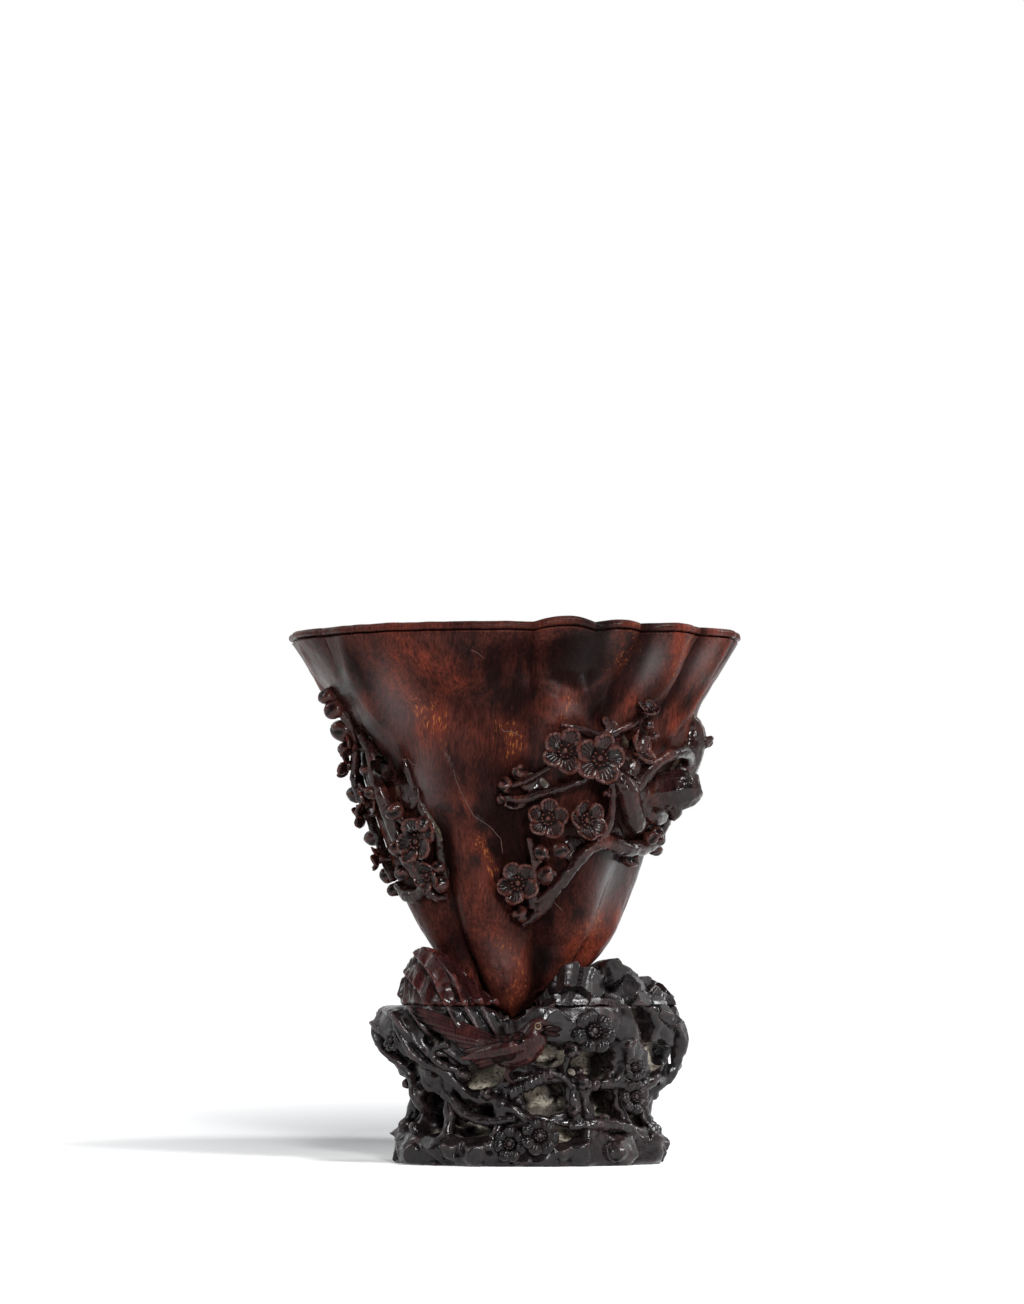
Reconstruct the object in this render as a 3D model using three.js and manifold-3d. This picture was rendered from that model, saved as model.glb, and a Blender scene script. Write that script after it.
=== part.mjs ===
// Aloeswood libation cup, carved with prunus, on its pierced rock stand.
// Millimetres, +Z up, the front looks along -Y. The origin is the middle of the stand's resting face.
import * as THREE from "three";
import { mergeVertices } from "three/addons/utils/BufferGeometryUtils.js";
import Module from "manifold-3d";

const wasm = await Module();
wasm.setup();

// Fits
const CLEARANCE = 0.3;
const FACE_CLEARANCE = 1.2 * CLEARANCE;

// Cup: heights are above the tip of its front root, half widths are left to right, and the
// shoulder and the flare are shares of the rim's half width
const CUP_HEIGHT = 107;
const RIM_HALF_WIDTH = 64.5;
const RIM_DEPTH_SHARE = 0.73;
const FOOT_DEPTH_SHARE = 0.84;
const WALL = 4;
const LIP_HEIGHT = 2.6;
const LIP_PROUD = 0.7;
const BOWL_FLOOR = 36;
const FOOT_HALF_WIDTH = 9;
const HEEL_HEIGHT = 13;
const HEEL_HALF_WIDTH = 21;
const WAIST_HEIGHT = 33;
const WAIST_HALF_WIDTH = 31.5;
const SHOULDER_DROP = 27;
const SHOULDER_SHARE = 0.736;
const FLARE_DROP = 11;
const FLARE_SHARE = 0.8915;
const CUP_AXIS_X = -3;

// Lobes of the rim: where each begins, how far its flute runs down, how high it stands
const RIM_NOTCH = 2.6;
const RIM_LOBES = [
  { from: -62, run: 15, rise: 0 },
  { from: 5, run: 30, rise: 1.5 },
  { from: 21, run: 26, rise: 0.7 },
  { from: 34, run: 34, rise: 0.4 },
  { from: 56, run: 34, rise: 0 },
  { from: 84, run: 24, rise: 0.5 },
  { from: 122, run: 16, rise: 0 },
  { from: 160, run: 26, rise: 0.8 },
  { from: 190, run: 20, rise: 0 },
  { from: 226, run: 28, rise: 0.6 },
  { from: 258, run: 22, rise: 0 },
  { from: 280, run: 22, rise: 0 },
];

// Root lobes that the cup stands on, and the valleys between them
const ROOT_FADE = 34;
const ROOT_TIPS = [
  { at: -8, tip: 0 },
  { at: 36, tip: 6 },
  { at: 74, tip: 10 },
  { at: 130, tip: 6 },
  { at: 186, tip: 3 },
  { at: 236, tip: 7 },
  { at: 290, tip: 5 },
];
const VALLEY_RUN = 58;
const VALLEYS = [
  { at: -43, lean: 0, width: 9, depth: 0.2 },
  { at: 19, lean: -1.1, width: 8, depth: 0.2 },
  { at: 54, lean: 0.1, width: 8, depth: 0.17 },
  { at: 104, lean: 0.2, width: 12, depth: 0.2 },
  { at: 158, lean: 0, width: 12, depth: 0.18 },
  { at: 212, lean: 0.2, width: 12, depth: 0.2 },
  { at: 262, lean: 0, width: 12, depth: 0.18 },
];

// Swellings and hollows of the wall: azimuth, height, spread across, spread up, how far out
const WALL_FORMS = [
  { at: 12, height: 85, across: 9, up: 6, out: 4 },
  { at: 10, height: 96, across: 15, up: 5, out: -3 },
  { at: 84, height: 77, across: 16, up: 8, out: 2.6 },
  { at: -52, height: 84, across: 10, up: 9, out: 2 },
  { at: -30, height: 62, across: 14, up: 16, out: 1.6 },
  { at: 200, height: 70, across: 18, up: 14, out: 2.2 },
  { at: 150, height: 88, across: 14, up: 8, out: -2 },
];

// Flutes (out is negative) and ridges along the wall: a route of [azimuth, height], half width, depth
const FLUTES = [
  { out: -1.5, wide: 5.5, route: [[21, 104], [20, 97], [18, 91]] },
  { out: -1.8, wide: 4.5, route: [[34, 103], [34, 94], [32, 87], [29, 82]] },
  { out: -1.9, wide: 4.5, route: [[54, 104], [57, 95], [57, 87], [50, 83]] },
  { out: -1.4, wide: 4, route: [[77, 103], [77, 95], [81, 87]] },
  { out: -1.3, wide: 5, route: [[-58, 104], [-58, 95], [-56, 86], [-48, 78]] },
  { out: -1.6, wide: 7, route: [[-80, 77], [-58, 71], [-48, 63], [-42, 52]] },
  { out: -1.6, wide: 10, route: [[-4, 95], [12, 96], [26, 94]] },
  { out: -1.2, wide: 8, route: [[-26, 90], [-12, 79], [-4, 70]] },
  { out: -3.2, wide: 8, route: [[2, 61], [0, 54], [-1, 46], [3, 38]] },
  { out: 1, wide: 3.6, route: [[-54, 99], [-57, 90], [-50, 82], [-45, 77]] },
  { out: 1.2, wide: 4, route: [[26, 102], [27, 94], [26, 86], [23, 81]] },
  { out: 1.3, wide: 5, route: [[45, 103], [48, 92], [46, 86]] },
  { out: 1.2, wide: 3.6, route: [[70, 102], [74, 92], [71, 85], [64, 80]] },
  { out: -1.5, wide: 6, route: [[122, 104], [124, 92], [128, 78]] },
  { out: -1.6, wide: 6, route: [[160, 104], [158, 90], [164, 74]] },
  { out: 1.4, wide: 6, route: [[176, 102], [178, 88], [172, 72]] },
  { out: -1.5, wide: 6, route: [[190, 103], [196, 88], [192, 74]] },
  { out: -1.6, wide: 6, route: [[226, 103], [222, 88], [228, 70]] },
  { out: 1.2, wide: 5, route: [[242, 102], [240, 84], [246, 64]] },
  { out: -1.3, wide: 5, route: [[258, 103], [262, 86], [256, 68]] },
];
const SLOPE_STRETCH = 1.15;

// Stand: the lower block up to its glue seam, and the crags above it
const SEAM_HEIGHT = 43.5;
const FOOT_SINK = 3.5;
const SOCKET_CLEARANCE = 0.4;
const BLOCK_TOP_HALF_WIDTH = 43;
const BLOCK_WAIST_HEIGHT = 15;
const BLOCK_WAIST_HALF_WIDTH = 33;
const BASE_HALF_WIDTH = 38.5;
const BASE_THICKNESS = 5.5;
const STAND_DEPTH_SHARE = 0.72;
const STAND_CENTRE_X = 0.5;
const NOTCH_FLOOR = 39;
const NOTCH_X = -3.6;
const NOTCH_LEFT = 10.5;
const NOTCH_RIGHT = 8;

// Facets: the wall's columns are [even turn, azimuth], closer together over the front flutes
const WALL_SIDES = 52;
const WALL_TURNS = [[0, -25], [176, 92], [360, 335]];
const BLOCK_SIDES = 36;
const PETAL_SIDES = 4;
const LIMB_SIDES = 6;
const LIMB_STEP = 7.5;

const CUP_SEAT = SEAM_HEIGHT - FOOT_SINK;
const CUP_OUTLINE = [
  [0, FOOT_HALF_WIDTH],
  [3, (FOOT_HALF_WIDTH + HEEL_HALF_WIDTH) / 2],
  [HEEL_HEIGHT, HEEL_HALF_WIDTH],
  [WAIST_HEIGHT, WAIST_HALF_WIDTH],
  [CUP_HEIGHT - SHOULDER_DROP, SHOULDER_SHARE * RIM_HALF_WIDTH],
  [CUP_HEIGHT - FLARE_DROP, FLARE_SHARE * RIM_HALF_WIDTH],
  [CUP_HEIGHT, RIM_HALF_WIDTH],
];
const BLOCK_OUTLINE = [
  [0, BASE_HALF_WIDTH],
  [BASE_THICKNESS, BASE_HALF_WIDTH - 0.5],
  [BLOCK_WAIST_HEIGHT, BLOCK_WAIST_HALF_WIDTH],
  [(BLOCK_WAIST_HEIGHT + SEAM_HEIGHT) / 2, (BLOCK_WAIST_HALF_WIDTH + BLOCK_TOP_HALF_WIDTH) / 2],
  [SEAM_HEIGHT - 5, BLOCK_TOP_HALF_WIDTH],
  [SEAM_HEIGHT, BLOCK_TOP_HALF_WIDTH - 1],
];

const wood = (name, color, roughness) =>
  new THREE.MeshStandardMaterial({ name, color, roughness, metalness: 0 });
const cupWood = wood("cup wood", 0x451812, 0.38);
const sprayWood = wood("spray wood", 0x2c110e, 0.42);
const standWood = wood("stand wood", 0x19100f, 0.36);
const birdWood = wood("bird wood", 0x2b0f0c, 0.34);

const radians = THREE.MathUtils.degToRad;
const clamp = THREE.MathUtils.clamp;

// The value at a place on a smooth line through a few stations of [place, value].
function through(stations, place) {
  const last = stations.length - 1;
  const inside = clamp(place, stations[0][0], stations[last][0]);
  let i = 0;
  while (i < last - 1 && inside > stations[i + 1][0]) {
    i += 1;
  }
  const slope = (a, b) => (stations[b][1] - stations[a][1]) / (stations[b][0] - stations[a][0]);
  const length = stations[i + 1][0] - stations[i][0];
  const t = (inside - stations[i][0]) / length;
  const into = i > 0 ? slope(i - 1, i + 1) : slope(i, i + 1);
  const out = i + 2 <= last ? slope(i, i + 2) : slope(i, i + 1);
  const a = (1 + 2 * t) * (1 - t) ** 2 * stations[i][1] + t * (1 - t) ** 2 * length * into;
  const b = t * t * (3 - 2 * t) * stations[i + 1][1] + t * t * (t - 1) * length * out;
  return a + b;
}

// The turn from one azimuth to another in degrees, between -180 and 180.
function turnBetween(from, to) {
  return ((((to - from + 180) % 360) + 360) % 360) - 180;
}

function bell(distance, width) {
  return Math.exp(-((distance / width) ** 2));
}

// The item of a ring of items that an azimuth falls in, and how far through it lies.
function lobeAt(lobes, azimuth, key) {
  for (let i = 0; i < lobes.length; i += 1) {
    const next = lobes[(i + 1) % lobes.length];
    const span = (((next[key] - lobes[i][key]) % 360) + 360) % 360;
    const into = (((azimuth - lobes[i][key]) % 360) + 360) % 360;
    if (into < span) {
      return { lobe: lobes[i], next, share: into / span, span };
    }
  }
  return { lobe: lobes[0], next: lobes[0], share: 0, span: 360 };
}

// How far the wall draws in at the rim's notches.
function rimNotch(azimuth, height) {
  const { lobe, next, share, span } = lobeAt(RIM_LOBES, azimuth, "from");
  const run = THREE.MathUtils.lerp(lobe.run, next.run, share);
  const fade = clamp(1 - (CUP_HEIGHT - height) / run, 0, 1);
  const deep = RIM_NOTCH * clamp(span / 36, 0.55, 1.2);
  return deep * (1 - Math.sqrt(Math.sin(Math.PI * share))) * fade;
}

function rimRise(azimuth) {
  const { lobe, share } = lobeAt(RIM_LOBES, azimuth, "from");
  return lobe.rise * Math.sin(Math.PI * share);
}

// How far the wall draws in at the valleys between the root lobes, as a share of its radius.
function valleyShare(azimuth, height) {
  const fade = clamp(1 - height / VALLEY_RUN, 0, 1);
  return VALLEYS.reduce((sum, valley) => {
    const at = valley.at + valley.lean * (height - HEEL_HEIGHT);
    return sum + valley.depth * bell(turnBetween(at, azimuth), valley.width) * fade;
  }, 0);
}

function wallSwelling(azimuth, height) {
  return WALL_FORMS.reduce((sum, form) => {
    const across = bell(turnBetween(form.at, azimuth), form.across);
    return sum + form.out * across * bell(height - form.height, form.up);
  }, 0);
}

// How far a place on the wall lies from a route along it.
function gapToRoute(route, azimuth, height, radius) {
  const spread = radians(radius);
  let nearest = Infinity;
  for (let i = 0; i + 1 < route.length; i += 1) {
    const x = turnBetween(route[i][0], azimuth) * spread;
    const y = (height - route[i][1]) * SLOPE_STRETCH;
    const dx = turnBetween(route[i][0], route[i + 1][0]) * spread;
    const dy = (route[i + 1][1] - route[i][1]) * SLOPE_STRETCH;
    const t = clamp((x * dx + y * dy) / (dx * dx + dy * dy), 0, 1);
    nearest = Math.min(nearest, Math.hypot(x - t * dx, y - t * dy));
  }
  return nearest;
}

function wallFlutes(azimuth, height, radius) {
  return FLUTES.reduce((sum, flute) => {
    return sum + flute.out * bell(gapToRoute(flute.route, azimuth, height, radius), flute.wide);
  }, 0);
}

// Half width of the outer wall at an azimuth from the front towards +X, and a height.
function wallRadius(azimuth, height) {
  const plain = through(CUP_OUTLINE, height);
  const carved = plain * (1 - valleyShare(azimuth, height)) + wallFlutes(azimuth, height, plain);
  return carved - rimNotch(azimuth, height) + wallSwelling(azimuth, height);
}

// The bowl follows the outer wall with softer lobes.
function bowlRadius(azimuth, height) {
  const plain = through(CUP_OUTLINE, height);
  return plain + 0.55 * (wallRadius(azimuth, height) - plain) - WALL;
}

function footRaise(azimuth, height) {
  const { lobe, next, share } = lobeAt(ROOT_TIPS, azimuth, "at");
  const ease = share * share * (3 - 2 * share);
  const tip = THREE.MathUtils.lerp(lobe.tip, next.tip, ease);
  return tip * clamp(1 - height / ROOT_FADE, 0, 1) ** 2;
}

// A place in the cup's own frame: the plan is an oval that is rounder at the foot.
function cupPlace(azimuth, radius, height) {
  const depthShare = through([[0, FOOT_DEPTH_SHARE], [CUP_HEIGHT, RIM_DEPTH_SHARE]], height);
  const raise = footRaise(azimuth, height) * clamp(radius / FOOT_HALF_WIDTH, 0, 1);
  const top = rimRise(azimuth) * clamp(1 - (CUP_HEIGHT - height) / (LIP_HEIGHT * 4), 0, 1);
  return new THREE.Vector3(
    radius * Math.sin(radians(azimuth)),
    -radius * depthShare * Math.cos(radians(azimuth)),
    height + raise + top,
  );
}

// A place on the cup's wall, or stood off from it.
function onWall([azimuth, height, lift]) {
  return cupPlace(azimuth, wallRadius(azimuth, height) + lift, height);
}

// Half width of the stand's lower block, with its knobs and hollows.
const BLOCK_FORMS = [
  { at: -70, height: 36, across: 15, up: 7, out: 2.6 },
  { at: -80, height: 15, across: 18, up: 6, out: -3 },
  { at: -56, height: 20, across: 9, up: 4, out: 3 },
  { at: -36, height: 20, across: 10, up: 6, out: -3 },
  { at: -20, height: 9, across: 12, up: 5, out: -2.5 },
  { at: 6, height: 24, across: 16, up: 7, out: -3.2 },
  { at: 30, height: 30, across: 12, up: 6, out: -2.4 },
  { at: 78, height: 26, across: 14, up: 6, out: 3.4 },
  { at: 96, height: 12, across: 12, up: 5, out: -2 },
  { at: 130, height: 26, across: 14, up: 8, out: 2.8 },
  { at: 168, height: 16, across: 14, up: 6, out: -3 },
  { at: 200, height: 30, across: 16, up: 7, out: 2.4 },
  { at: 236, height: 14, across: 12, up: 5, out: -2.4 },
  { at: 262, height: 28, across: 12, up: 6, out: -2 },
];
const BLOCK_WAVES = 11;
const BLOCK_WAVE_DEPTH = 1.1;

function blockRadius(azimuth, height) {
  const forms = BLOCK_FORMS.reduce((sum, form) => {
    const across = bell(turnBetween(form.at, azimuth), form.across);
    return sum + form.out * across * bell(height - form.height, form.up);
  }, 0);
  const wave = Math.sin(radians(azimuth * BLOCK_WAVES + height * 9));
  return through(BLOCK_OUTLINE, height) + forms + BLOCK_WAVE_DEPTH * wave;
}

function standPlace(azimuth, radius, height) {
  return new THREE.Vector3(
    STAND_CENTRE_X + radius * Math.sin(radians(azimuth)),
    -radius * STAND_DEPTH_SHARE * Math.cos(radians(azimuth)),
    height,
  );
}

function onBlock([azimuth, height, lift]) {
  return standPlace(azimuth, blockRadius(azimuth, height) + lift, height);
}

// Six times the signed volume of a triangle list, which is negative when it is inside out.
function signedVolume(points, triangles) {
  const corner = (i) => new THREE.Vector3().fromArray(points, i * 3);
  let sum = 0;
  for (let i = 0; i < triangles.length; i += 3) {
    const [a, b, c] = [0, 1, 2].map((k) => corner(triangles[i + k]));
    sum += a.dot(b.cross(c));
  }
  return sum;
}

// A closed three.js geometry as a solid that can be joined and cut.
function solid(geometry) {
  const bare = geometry.clone();
  bare.deleteAttribute("normal");
  bare.deleteAttribute("uv");
  const merged = mergeVertices(bare, 1e-4);
  const index = merged.index.array;
  const triangles = [];
  for (let i = 0; i < index.length; i += 3) {
    const [a, b, c] = [index[i], index[i + 1], index[i + 2]];
    if (a !== b && b !== c && c !== a) {
      triangles.push(a, b, c);
    }
  }
  const points = merged.attributes.position.array;
  if (signedVolume(points, triangles) < 0) {
    triangles.reverse();
  }
  return new wasm.Manifold(new wasm.Mesh({
    numProp: 3,
    vertProperties: new Float32Array(points),
    triVerts: new Uint32Array(triangles),
  }));
}

const joined = (solids) => solids.reduce((sum, next) => sum.add(next));
const cutBy = (body, cutters) => cutters.reduce((rest, cutter) => rest.subtract(cutter), body);

// The largest closed body of a triangle list: crumbs that a cut leaves behind are dropped.
function mainBody(triangles, pointCount) {
  const parent = Array.from({ length: pointCount }, (_, i) => i);
  const root = (i) => {
    let at = i;
    while (parent[at] !== at) {
      parent[at] = parent[parent[at]];
      at = parent[at];
    }
    return at;
  };
  for (let i = 0; i < triangles.length; i += 3) {
    parent[root(triangles[i])] = root(triangles[i + 1]);
    parent[root(triangles[i + 1])] = root(triangles[i + 2]);
  }
  const groups = new Map();
  for (let i = 0; i < triangles.length; i += 3) {
    const key = root(triangles[i]);
    groups.set(key, [...(groups.get(key) ?? []), triangles[i], triangles[i + 1], triangles[i + 2]]);
  }
  return [...groups.values()].sort((a, b) => b.length - a.length)[0];
}

// A solid as a named mesh in its own frame.
function piece(name, body, material) {
  const { vertProperties, triVerts } = body.getMesh();
  const geometry = new THREE.BufferGeometry();
  geometry.setAttribute("position", new THREE.BufferAttribute(new Float32Array(vertProperties), 3));
  geometry.setIndex(mainBody(Array.from(triVerts), vertProperties.length / 3));
  geometry.computeVertexNormals();
  const mesh = new THREE.Mesh(geometry, material);
  mesh.name = name;
  return mesh;
}

// A turned form whose rings are shaped by place(azimuth, ring), closed on the axis at both ends.
function turned(rings, place, sides) {
  const profile = rings.map((ring) => new THREE.Vector2(ring.axis ? 0 : 1, 0));
  const geometry = new THREE.LatheGeometry(profile, sides);
  const position = geometry.attributes.position;
  for (let i = 0; i < position.count; i += 1) {
    const side = Math.floor(i / rings.length) % sides;
    const at = place((side * 360) / sides, rings[i % rings.length]);
    position.setXYZ(i, at.x, at.y, at.z);
  }
  return solid(geometry);
}

// Heights for the rings of the wall, closer together at the foot and the rim.
function ringHeights(from, to, count) {
  return Array.from({ length: count }, (_, i) => {
    const t = i / (count - 1);
    return THREE.MathUtils.lerp(from, to, 0.55 * t + 0.45 * (1 - Math.cos(Math.PI * t)) / 2);
  });
}

// The cup: root lobes below, the flaring wall, the lip band, and the bowl inside.
const LIP_FOOT = CUP_HEIGHT - LIP_HEIGHT;
const WALL_HEIGHTS = ringHeights(0, LIP_FOOT, 13);

// The azimuth of a column of the wall.
function wallTurn(even) {
  const i = even < WALL_TURNS[1][0] ? 0 : 1;
  const [[fromTurn, from], [toTurn, to]] = [WALL_TURNS[i], WALL_TURNS[i + 1]];
  return THREE.MathUtils.mapLinear(even, fromTurn, toTurn, from, to);
}

// A turned form with the wall's columns, whose rings are halfWidth(azimuth, ring) wide.
function turnedWall(rings, halfWidth) {
  const place = (even, ring) => ring.axis
    ? new THREE.Vector3(0, 0, ring.height)
    : cupPlace(wallTurn(even), halfWidth(wallTurn(even), ring), ring.height);
  return turned(rings, place, WALL_SIDES);
}

function cupWallSolid() {
  const outer = WALL_HEIGHTS.map((height) => ({ skin: wallRadius, height, out: 0 }));
  const inner = ringHeights(BOWL_FLOOR + 7, CUP_HEIGHT - 1.2, 5)
    .reverse()
    .map((height) => ({ skin: bowlRadius, height, out: 0 }));
  const rings = [
    { axis: true, height: 1.5 },
    { skin: wallRadius, height: 0, out: -0.4 * FOOT_HALF_WIDTH },
    ...outer,
    { skin: wallRadius, height: LIP_FOOT + 0.5, out: LIP_PROUD },
    { skin: wallRadius, height: CUP_HEIGHT - 0.5, out: LIP_PROUD },
    { skin: wallRadius, height: CUP_HEIGHT, out: -0.6 },
    { skin: wallRadius, height: CUP_HEIGHT, out: -WALL * 0.6 },
    ...inner,
    { skin: bowlRadius, height: BOWL_FLOOR, out: -9 },
    { axis: true, height: BOWL_FLOOR - 1 },
  ];
  return turnedWall(rings, (azimuth, ring) => ring.skin(azimuth, ring.height) + ring.out);
}

// The outside of the wall alone, grown by a clearance: what the applied carvings are cut to fit.
function wallCutter(clearance) {
  const outer = WALL_HEIGHTS.map((height) => ({ height }));
  const rings = [{ axis: true, height: -clearance }, ...outer, { axis: true, height: LIP_FOOT }];
  return turnedWall(rings, (azimuth, ring) => wallRadius(azimuth, ring.height) + clearance);
}

// The straight-sided room that the foot needs in the stand, so that the cup lifts straight out.
function footSocket(clearance) {
  const top = WAIST_HEIGHT + 8;
  const heights = [0, 3, 7, HEEL_HEIGHT, 20, 27, top];
  const rings = [
    { axis: true, height: -clearance },
    { height: -clearance, level: 0 },
    ...heights.map((height) => ({ height, level: height })),
    { axis: true, height: top },
  ];
  const place = (azimuth, ring) => {
    if (ring.axis) {
      return new THREE.Vector3(CUP_AXIS_X, 0, CUP_SEAT + ring.height);
    }
    const depthShare = through([[0, FOOT_DEPTH_SHARE], [CUP_HEIGHT, RIM_DEPTH_SHARE]], ring.level);
    const radius = through(CUP_OUTLINE, ring.level) + clearance;
    return new THREE.Vector3(
      CUP_AXIS_X + radius * Math.sin(radians(azimuth)),
      -radius * depthShare * Math.cos(radians(azimuth)),
      CUP_SEAT + ring.height,
    );
  };
  return turned(rings, place, 28);
}

// A limb or twig: a rounded section along a smooth route, with a thickness at each stop.
function limbSolid(stops, grow = 0, sides = LIMB_SIDES) {
  const curve = new THREE.CatmullRomCurve3(stops.map((stop) => stop.at), false, "centripetal");
  const steps = Math.max(3, Math.ceil(curve.getLength() / LIMB_STEP));
  const { tangents, normals, binormals } = curve.computeFrenetFrames(steps, false);
  const stations = stops.map((stop, i) => [i, stop.thick / 2]);
  const points = [];
  const ends = [];
  for (let i = 0; i <= steps; i += 1) {
    const t = curve.getUtoTmapping(i / steps);
    const centre = curve.getPoint(t);
    const radius = through(stations, t * (stops.length - 1)) + grow;
    for (let k = 0; k < sides; k += 1) {
      const turn = (2 * Math.PI * k) / sides;
      const rim = centre.clone()
        .addScaledVector(normals[i], radius * Math.cos(turn))
        .addScaledVector(binormals[i], radius * Math.sin(turn));
      points.push(rim);
    }
    if (i === 0 || i === steps) {
      const away = tangents[i].clone().multiplyScalar((i === 0 ? -0.7 : 0.7) * radius);
      ends.push(centre.clone().add(away));
    }
  }
  points.push(...ends);
  const index = [];
  for (let i = 0; i < steps; i += 1) {
    for (let k = 0; k < sides; k += 1) {
      const a = i * sides + k;
      const b = i * sides + ((k + 1) % sides);
      index.push(a, b, a + sides, b, b + sides, a + sides);
    }
  }
  const near = (steps + 1) * sides;
  for (let k = 0; k < sides; k += 1) {
    const next = (k + 1) % sides;
    index.push(near, next, k, near + 1, steps * sides + k, steps * sides + next);
  }
  const geometry = new THREE.BufferGeometry().setFromPoints(points);
  geometry.setIndex(index);
  return solid(geometry);
}

// A rounded bud, longer along its stalk's direction.
function budSolid(at, size, grow = 0, long = 1.2) {
  const geometry = new THREE.SphereGeometry(size / 2 + grow, 6, 4);
  geometry.scale(1, 1, long);
  geometry.translate(at.x, at.y, at.z);
  return solid(geometry);
}

// The way that a flower looks: an azimuth from the front and an angle above level.
function facing([azimuth, elevation]) {
  const level = Math.cos(radians(elevation));
  return new THREE.Vector3(
    level * Math.sin(radians(azimuth)),
    -level * Math.cos(radians(azimuth)),
    Math.sin(radians(elevation)),
  );
}

// An open prunus flower: a dish of rounded petals with a ringed boss, on a short neck.
function blossomSolid(flower, place, grow = 0) {
  const size = flower.wide / 2 + grow;
  const cup = flower.cup ?? 0.3;
  const petals = flower.petals ?? 5;
  const neck = flower.neck ?? 4;
  const rings = [
    { axis: true, out: -neck - grow },
    { share: 0.3, out: -neck - grow },
    { share: 1, out: (cup + 0.06) * size - grow, lobed: 1 },
    { share: 1, out: (cup + 0.06) * size + grow, lobed: 1 },
    { share: 0.32, out: 0.02 * size + grow },
    { axis: true, out: 0.36 * size + grow },
  ];
  const shape = (azimuth, ring) => {
    const lobe = Math.abs(Math.cos(radians((azimuth * petals) / 2))) ** 0.7;
    const radius = ring.axis ? 0 : ring.share * size * (1 - 0.22 * (ring.lobed ?? 0) * (1 - lobe));
    return new THREE.Vector3(
      radius * Math.cos(radians(azimuth + (flower.spin ?? 0))),
      radius * Math.sin(radians(azimuth + (flower.spin ?? 0))),
      ring.out,
    );
  };
  const turn = new THREE.Quaternion().setFromUnitVectors(
    new THREE.Vector3(0, 0, 1),
    facing(flower.face),
  );
  const centre = place(flower.at);
  const put = (azimuth, ring) => shape(azimuth, ring).applyQuaternion(turn).add(centre);
  return turned(rings, put, petals * (petals > 5 ? PETAL_SIDES - 1 : PETAL_SIDES));
}

// A spray: limbs given as routes of [azimuth, height, stand-off, thickness], with buds on them.
function spraySolid(spray, place, grow = 0) {
  const limbs = spray.limbs.map((route) => {
    const stops = route.map((stop) => ({ at: place(stop), thick: stop[3] }));
    return limbSolid(stops, grow);
  });
  const buds = (spray.buds ?? []).map((bud) => budSolid(place(bud), bud[3], grow));
  return joined([...limbs, ...buds]);
}

// Flowers of the cup: place on the wall as [azimuth, height, stand-off], width, and facing.
const CUP_BLOSSOMS = {
  front_blossom_upper_left: { at: [15, 72.2, 6], wide: 13, face: [6, 4], cup: 0.28 },
  front_blossom_upper_mid: { at: [25, 70.3, 9], wide: 14.4, face: [16, -4], cup: 0.3, spin: 20 },
  front_blossom_fan: { at: [42, 73, 4.5], wide: 12, face: [64, 22], cup: 0.55, neck: 5 },
  front_blossom_top: { at: [42, 83.6, 3], wide: 8, face: [34, 48], cup: 0.6, neck: 4 },
  front_blossom_mid_left: { at: [11, 53.9, 7], wide: 12, face: [2, 8], cup: 0.4, spin: 12 },
  front_blossom_mid_right: { at: [23, 53.4, 9], wide: 13, face: [34, 6], cup: 0.6, neck: 7 },
  front_blossom_low: { at: [1, 36.6, 6], wide: 12.6, face: [-14, 4], cup: 0.36, spin: 30 },
  left_blossom_top: { at: [-73, 75, 3.4], wide: 9.4, face: [-90, 14], cup: 0.6 },
  left_blossom_side: { at: [-70, 60, 4], wide: 10.4, face: [-84, 8], cup: 0.5 },
  left_pod: { at: [-50, 66.6, 3.8], wide: 11.6, face: [-30, 26], cup: 1.05, petals: 4, neck: 5 },
  left_blossom_upper: { at: [-44, 48, 4], wide: 14, face: [-36, 10], cup: 0.34 },
  left_blossom_low: { at: [-42, 39.4, 4], wide: 11, face: [-48, -20], cup: 0.5, neck: 5 },
  back_blossom_upper: { at: [168, 74, 5], wide: 13.4, face: [172, 6], cup: 0.32 },
  back_blossom_low: { at: [212, 52, 5], wide: 12.6, face: [214, 4], cup: 0.34 },
};

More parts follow.
